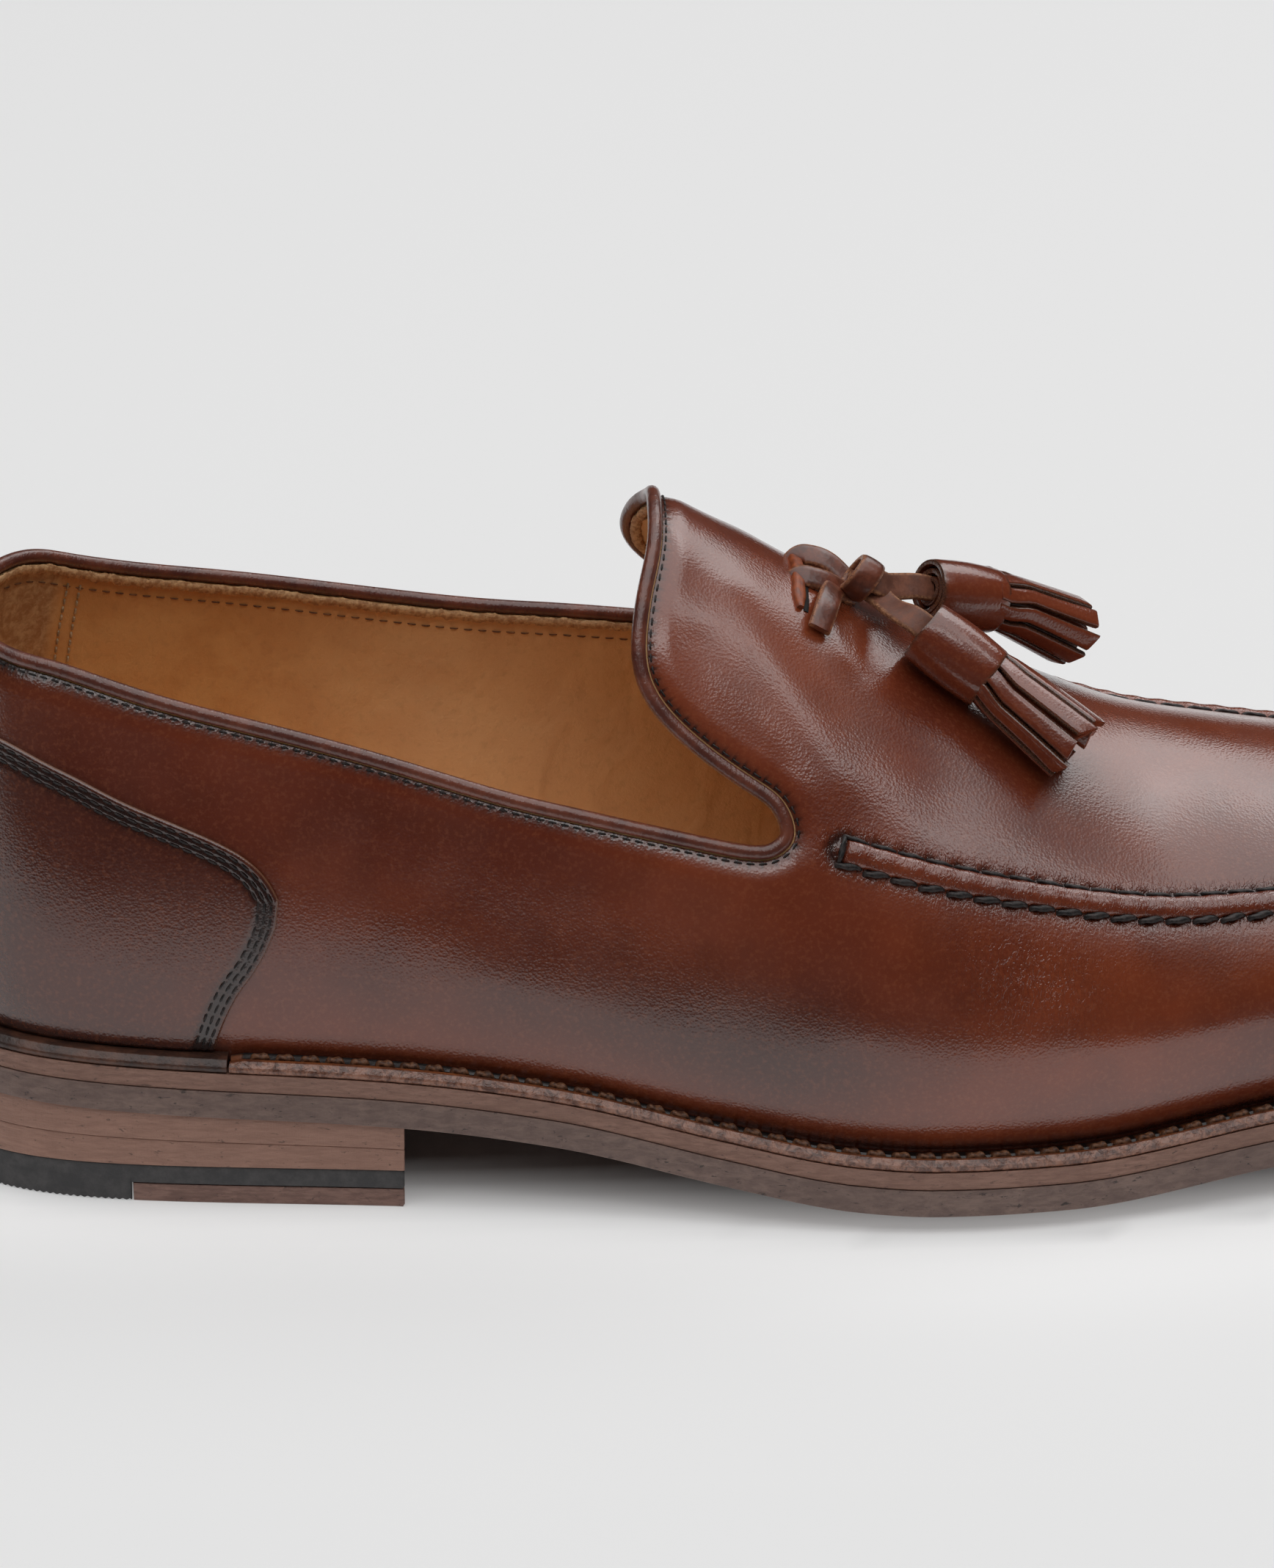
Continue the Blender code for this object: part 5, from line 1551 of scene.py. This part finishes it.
def strip(
    body, path, normals, width, thick, count=40, around=20, cup=0.0, closed=False, ends=(1.0, 1.0), seed=1
):
    """A flat strip of leather through a smooth path. Its cut sides are marked as cut."""
    path, normals = np.asarray(path, float), np.asarray(normals, float)
    at, knots = np.linspace(0, len(path) - 1, count), np.arange(len(path))
    route = np.stack([cubic(knots, path[:, k])(at) for k in range(3)], axis=-1)
    up = np.stack([steady(knots, normals[:, k])(at) for k in range(3)], axis=-1)
    run = np.gradient(route, axis=0)
    if closed:
        run[[0, -1]] = run[0] + run[-1]
    across, over = frame_along(unit(run), up)
    a, b = soft_box(around)
    draw = np.random.default_rng(seed)
    wobble = 1 + np.interp(at, np.linspace(0, at[-1], 9), draw.normal(0, 0.02, 9))
    taper = np.interp(at, (0, 0.12 * at[-1], 0.88 * at[-1], at[-1]), (ends[0], 1, 1, ends[1]))
    wide = (width * wobble * taper)[:, None] * a
    high = thick * b - cup * (2 * a) ** 2
    rings = route[:, None] + across[:, None] * wide[..., None] + over[:, None] * high[..., None]
    cut = cut_sides(a, count)
    if closed:
        body.grid(np.concatenate([rings, rings[:, :1]], axis=1), cut=cut)
    else:
        body.tube(rings, cut=cut)


# The laced tie: bands side by side out of one slot across the ridge, and the hanging end.
TIE_BANDS = (
    # along, sway, lift of its middle in millimetres; the first lies inside the slot
    ((0.4535, -0.062, -1.2), (0.4570, -0.062, 0.6), (0.4625, -0.060, 1.2), (0.4700, -0.056, 1.5),
     (0.4780, -0.050, 1.3), (0.4860, -0.042, 1.0), (0.4920, -0.034, 0.8)),
    ((0.4530, 0.080, -1.5), (0.4570, 0.080, 0.6), (0.4625, 0.076, 1.7), (0.4700, 0.060, 2.0),
     (0.4780, 0.035, 1.8), (0.4860, 0.010, 1.3), (0.4920, -0.010, 1.0)),
    ((0.4535, 0.030, -1.2), (0.4570, 0.030, 1.0), (0.4620, 0.026, 1.9), (0.4690, 0.020, 2.4),
     (0.4770, 0.012, 2.3), (0.4850, 0.000, 1.8), (0.4920, -0.010, 1.4)),
)
TIE_TAIL = (
    (0.4830, -0.030, 0.7), (0.4775, -0.062, 1.3), (0.4735, -0.095, 2.0), (0.4705, -0.128, 2.2),
    (0.4683, -0.158, 1.9), (0.4664, -0.186, 1.1),
)
# How far each band, then the tail, leans to the outer side, and its share of the tie's width.
TIE_LEAN = ((0.55, 0.80), (0.0, 0.80), (0.75, 0.80), (0.3, 0.80))
SLOT = ((0.4562, -0.150), (0.4556, -0.085), (0.4552, -0.020), (0.4552, 0.045), (0.4558, 0.115))
RING_AT = (0.4905, -0.036)
TASSELS = {
    # along, sway and lift over the cap's radius: cap's back, cap's front, fringe's end
    "lateral": ((0.525, -0.127, 1.0), (0.569, -0.178, 1.0), (0.620, -0.265, 0.95)),
    "medial": ((0.534, 0.012, 1.0), (0.577, 0.060, 1.35), (0.612, 0.110, 1.30)),
}
STRIP_THICK, STRIPS, STRIP_FILL = 0.0014, 9, 0.86
FRINGE_SQUEEZE, FRINGE_BEND = 0.85, 0.1
STRAP_LEAN = -0.9
WRAP_PITCH, WRAP_THICK, WRAP_TURNS = 0.00132, 0.00118, 3.15


def tassel_points(name):
    return [perch(along, sway, GAP + CAP_RADIUS * share) for along, sway, share in TASSELS[name]]


def make_tie(paint):
    """The tie: three bands out of the slot, a hanging end, the ring round them and the tassels' straps."""
    body = Body()
    for index, spots in enumerate((*TIE_BANDS, TIE_TAIL)):
        path = [perch(along, sway, lift * MM) for along, sway, lift in spots]
        lean, share = TIE_LEAN[index]
        normals = [unit(facing(*spot[:2]) + lean * np.array([0.0, -1.0, 0.0])) for spot in spots]
        wide, thick = share * TIE_WIDTH, 0.92 * TIE_THICK
        strip(body, path, normals, wide, thick, 60, 24, 0.00012, ends=(0.9, 0.96), seed=60 + index)
    body.make("tie_bands", paint["strap"], "calf", "tie_braid", sharp=60)
    lips = Body()
    normals = [facing(*spot) for spot in SLOT]
    path = [perch(*spot, 0.00005) for spot in SLOT]
    strip(lips, path, normals, 0.0021, 0.0016, 40, 16, ends=(0.45, 0.45), seed=63)
    lips.make("slot_lip", paint["slot"], "calf", sharp=60)
    # A dark strip just under the surface inside the slot, as painted shade in its hollow.
    holes = Body()
    path = [perch(along + 0.0042, sway, -0.00002) for along, sway in SLOT]
    strip(holes, path, normals, 0.0016, 0.0005, 24, 12, ends=(0.5, 0.5), seed=65)
    holes.make("slot_hole", paint["hole"], "calf", sharp=60)
    along, sway = RING_AT
    run = unit(perch(along + 0.02, sway - 0.010, 0) - perch(along, sway, 0))
    across, over = frame_along(run, facing(along, sway))
    centre = perch(along, sway, GAP + RING_TALL / 2)
    angle = np.linspace(0, 2 * pi, 25)
    outward = np.cos(angle)[:, None] * across * 0.85 + np.sin(angle)[:, None] * over
    drift = 0.0003 * np.sin(angle)[:, None] * run
    path, wide = centre + outward * (RING_TALL - RING_THICK) / 2 + drift, 0.88 * RING_WIDTH
    ring = Body()
    strip(ring, path, outward, wide, RING_THICK, 73, 24, 0.00015, closed=True, seed=64)
    ring.make("ring_wrap", paint["strap"], "calf", "tie_ring", sharp=60)
    for index, (name, place) in enumerate((("lateral", -0.75), ("medial", 0.75))):
        back, ahead, _ = tassel_points(name)
        head, up = unit(ahead - back), facing(*TASSELS[name][0][:2])
        start = centre + over * STRAP_THICK * place - run * RING_WIDTH * 0.3
        leaves, lands = start + run * RING_WIDTH * 0.9, back - head * STRAP_WIDTH * 0.55
        middle = (leaves + lands) / 2 - over * 0.0004
        path = (start, leaves, middle, lands, back + head * 0.0012)
        lean = across * STRAP_LEAN
        normals = (over, unit(over + lean), unit(over + lean), unit(up + lean), unit(up + lean))
        body = Body()
        strip(body, path, normals, STRAP_WIDTH, STRAP_THICK, 50, 24, -0.00015, seed=66 + index)
        body.make("strap_" + name, paint["flesh"], "calf", "tassel_strap_" + name, sharp=60)


def make_cap(paint, name, seed):
    """A strip wound round the head of the fringe, with its layers showing at both ends."""
    back, ahead, _ = tassel_points(name)
    run = unit(ahead - back)
    across, over = frame_along(run, facing(*TASSELS[name][0][:2]))
    draw = np.random.default_rng(seed)
    angle = np.linspace(0, 2 * pi * WRAP_TURNS, 190)
    left = WRAP_TURNS - angle / (2 * pi)
    radius = CAP_RADIUS - WRAP_THICK / 2 - WRAP_PITCH * left
    radial = across * np.cos(angle - 2.2)[:, None] + over * np.sin(angle - 2.2)[:, None]
    uneven = [np.interp(angle, np.linspace(0, angle[-1], 30), draw.normal(0, 0.00012, 30)) for _ in range(2)]
    first = 0.0004 * np.minimum(left, 1.6) + uneven[0]
    last = CAP_LENGTH - 0.0002 * np.minimum(left, 1.6) + uneven[1]
    a, b = soft_box(28, 7.0)
    along = first[:, None] + (last - first)[:, None] * (a + 0.5)
    out = radius[:, None] + WRAP_THICK * b + 0.00012 * np.cos(2 * pi * a)
    rings = back + run * along[..., None] + radial[:, None] * out[..., None]
    body = Body()
    body.tube(rings, cut=cut_sides(a, len(angle), 0.47, 0.02))
    body.make("cap_wrap_" + name, paint["tassel"], "calf", "tassel_cap_" + name, sharp=60)


def make_fringe(paint, name, seed):
    """Free strips in two rings round a core, bent a little and cut at an angle."""
    back, ahead, end = tassel_points(name)
    head = unit(ahead - back)
    start = back + head * (CAP_LENGTH + GAP)
    run = unit(end - start)
    at_cap = frame_along(head, facing(*TASSELS[name][0][:2]))
    at_end = frame_along(run, facing(*TASSELS[name][2][:2]))
    draw = np.random.default_rng(seed)
    a, b = soft_box(18, 6.0)
    body = Body()
    shares = np.concatenate([[-0.14], np.linspace(-0.02, 0.97, 13), [1.0]])
    bundles = (
        # strips, shift by a share of one, radius at the cap, radius at the end
        (STRIPS, 0.0, 0.80 * CAP_RADIUS, 1.02 * CAP_RADIUS),
        (6, 0.3, 0.50 * CAP_RADIUS, 0.66 * CAP_RADIUS),
    )
    for count, shift, near, far in bundles:
        for k in range(count):
            angle = 2 * pi * (k + 0.5 + shift) / count
            length, slant = FRINGE_LENGTH * (1 + draw.uniform(-0.07, 0.0)), draw.uniform(-0.05, 0.05)
            sway, lift = draw.normal(0, 0.0003), draw.uniform(-0.0002, 0.0002)
            strip_rings = []
            for share in shares:
                blend = np.clip(share / (2 * FRINGE_BEND), 0, 1)
                across, over = (unit(p + (q - p) * blend) for p, q in zip(at_cap, at_end))
                outward = across * np.cos(angle) + over * np.sin(angle) * FRINGE_SQUEEZE
                aside = over * np.cos(angle) * FRINGE_SQUEEZE - across * np.sin(angle)
                grown = np.clip(share, 0, 1) ** 1.3
                radius = near + (far - near) * grown + lift * np.sin(pi * np.clip(share, 0, 1))
                half = STRIP_FILL * pi * radius / count
                thick = STRIP_THICK * (0.72 if share < 0 else 1.0) * (0.8 if share == 1.0 else 1.0)
                axis = start + run * length * share + aside * sway * share**2
                slide = run * length * slant * max(share, 0) ** 3
                high = outward * (radius + thick * b)[:, None]
                strip_rings.append(axis + high + (aside * half + slide) * (2 * a)[:, None])
            body.tube(np.array(strip_rings), cut=cut_sides(a, len(shares)))
    ring = np.linspace(0, 2 * pi, 12, endpoint=False)
    core = []
    for share in (0.0, 0.4, 0.8):
        out = at_end[0] * np.cos(ring)[:, None] + at_end[1] * FRINGE_SQUEEZE * np.sin(ring)[:, None]
        core.append(start + run * FRINGE_LENGTH * share + out * 0.0019)
    body.tube(np.array(core), cut=np.zeros(3))
    body.make("fringe_strips_" + name, paint["tassel"], "calf", "tassel_fringe_" + name, sharp=60)


def make_camera():
    """The photo's view: from the outer side, a little behind square and above, far off."""
    target = Vector((0.075, 0.0373, 0.040))
    azimuth, elevation, distance = radians(-4), radians(22), 1.5
    level = np.cos(elevation)
    back = Vector((np.sin(azimuth) * level, -np.cos(azimuth) * level, np.sin(elevation)))
    data = bpy.data.cameras.new("camera")
    data.sensor_width = 36
    data.lens = 217.3
    data.clip_start, data.clip_end = 0.05, 50
    camera = bpy.data.objects.new("camera", data)
    camera.location = target + distance * back
    camera.rotation_mode = "QUATERNION"
    camera.rotation_quaternion = (-back).to_track_quat("-Z", "Y")
    bpy.context.scene.collection.objects.link(camera)
    bpy.context.scene.camera = camera


def area_light(name, location, target, size, power):
    data = bpy.data.lights.new(name, "AREA")
    data.shape = "RECTANGLE"
    data.size, data.size_y = size
    data.energy = power
    lamp = bpy.data.objects.new(name, data)
    lamp.location = location
    lamp.rotation_mode = "QUATERNION"
    lamp.rotation_quaternion = (Vector(target) - Vector(location)).to_track_quat("-Z", "Y")
    bpy.context.scene.collection.objects.link(lamp)


LIGHTS = (
    # name, place, aimed at, size, watts
    ("overhead", (0.10, 0.10, 2.0), (0.10, 0.0, 0.0), (2.6, 2.2), 18),
    ("back_right", (0.9, 0.9, 1.2), (0.14, 0, 0.06), (0.9, 0.9), 5),
    ("left_high", (-0.9, -0.7, 1.3), (0.10, 0, 0.08), (0.6, 0.6), 1.5),
    ("right_front", (1.0, -0.40, 1.18), (0.10, 0, 0.07), (0.3, 0.4), 0.7),
    ("front_high", (0.12, -1.0, 1.45), (0.08, 0, 0.06), (1.1, 0.3), 2.4),
)
# The sine of the height where the room starts and ends growing brighter, and its light below and above.
SKY = (0.50, 0.92, 0.02, 0.58)
# How far under the sole the floor's painted glow starts, its strength, and where the dark sheet in front
# starts.
FLOOR_SHADE, FLOOR_PAINTED_GLOW = 0.020, 0.30
SHEET_EDGE = -0.135


def stage_sheet(name, points, material, **marks):
    mesh = bpy.data.meshes.new(name)
    mesh.from_pydata(points.reshape(-1, 3).tolist(), [], grid_faces(*points.shape[:2]).tolist())
    for mark, values in marks.items():
        layer = mesh.attributes.new(mark, "FLOAT", "POINT")
        layer.data.foreach_set("value", values.reshape(-1).astype(float))
    mesh.materials.append(material)
    sheet = bpy.data.objects.new(name, mesh)
    bpy.context.scene.collection.objects.link(sheet)
    return sheet


def make_studio():
    """A pale floor under wide soft lights, in a room that is dark round the sides and bright overhead; the
    floor has a painted glow shaped round the sole.
    """
    world = bpy.data.worlds.new("studio")
    world.use_nodes = True
    nodes, links = world.node_tree.nodes, world.node_tree.links
    split = nodes.new("ShaderNodeSeparateXYZ")
    links.new(nodes.new("ShaderNodeTexCoord").outputs["Generated"], split.inputs[0])
    sky = nodes.new("ShaderNodeMapRange")
    sky.interpolation_type = "SMOOTHSTEP"
    for key, value in zip(("From Min", "From Max", "To Min", "To Max"), SKY):
        sky.inputs[key].default_value = value
    links.new(split.outputs["Z"], sky.inputs["Value"])
    links.new(sky.outputs["Result"], nodes["Background"].inputs["Strength"])
    nodes["Background"].inputs["Color"].default_value = (1.0, 1.0, 1.0, 1)
    bpy.context.scene.world = world
    far = np.array([1.0, 3.0, 6.0])
    x = np.concatenate([-far[::-1], np.linspace(-0.12, 0.34, 93), far])
    y = np.concatenate([-far[::-1], np.linspace(-0.14, 0.14, 57), far])
    x, y = np.meshgrid(x, y, indexing="ij")
    points = np.stack([x, y, 0 * x], axis=-1)
    turn = np.linspace(0, 1, 200)
    outline = np.concatenate([sole_edge(turn, LATERAL), sole_edge(turn[::-1], MEDIAL)])
    outline = np.concatenate([outline, np.zeros((len(outline), 1))], axis=1)
    away = distance_to_path(points, outline, 0.14)[0]
    inside = np.abs(y) < by_side(EDGE, y, turn_of((x + ORIGIN_FROM_BACK) / SOLE_LENGTH)) * BALL_WIDTH / 2
    away = np.where(inside, -away, away)
    # Painted light: the floor glows, fading out just under the sole's edge and raised in a band round it,
    # which lightens the shoe's cast shadow.
    share = np.clip((away + FLOOR_SHADE) / (1.45 * FLOOR_SHADE), 0, 1)
    lit = share * share * (3 - 2 * share) * (1 + 0.5 * bell(away, 0, 0.027))
    t = Tree("floor_paint")
    glow = t.math("MULTIPLY", t.mark("lit"), FLOOR_PAINTED_GLOW)
    paint = t.finish(srgb(200, 200, 200), 0.9, Specular_IOR_Level=0.1, Emission_Color=(1.0, 1.0, 1.0),
                     Emission_Strength=glow)
    stage_sheet("floor", points, paint, lit=lit)
    # A sheet that only reflections see keeps the upper side of the shoe dark, as past a table's edge.
    x, y = np.meshgrid((-1.5, 1.8), (-2.5, SHEET_EDGE), indexing="ij")
    t = Tree("dark_sheet_paint")
    paint = t.finish(srgb(22, 20, 20), 0.95, Specular_IOR_Level=0.0)
    sheet = stage_sheet("dark_sheet", np.stack([x, y, 0 * x + 0.002], axis=-1), paint)
    sheet.visible_camera = sheet.visible_diffuse = sheet.visible_shadow = False
    for light in LIGHTS:
        area_light(*light)


def main():
    make_camera()
    make_studio()
    bpy.context.scene.view_settings.view_transform = "Standard"
    paint = make_paint()
    for name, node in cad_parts.items():
        node.data.materials.clear()
        node.data.materials.append(paint[NODE_SLOTS.get(name, "calf")])
    make_upper(paint)
    make_piping(paint)
    make_rim_stitches(paint)
    make_lining_edge(paint)
    make_counter(paint)
    make_apron_seam(paint)
    make_welt(paint)
    make_sole(paint)
    make_tie(paint)
    for seed, name in enumerate(TASSELS, 80):
        make_cap(paint, name, seed)
        make_fringe(paint, name, seed + 10)


NODE_SLOTS = {
    "outsole": "outsole",
    "midsole": "midsole",
    "welt": "welt",
    "heel_rand": "rand",
    "heel_lift_upper": "lift",
    "heel_lift_lower": "lift",
    "toplift_rubber": "rubber",
    "toplift_insert": "insert",
    "insole": "lining",
    "collar_piping": "piping",
}

main()
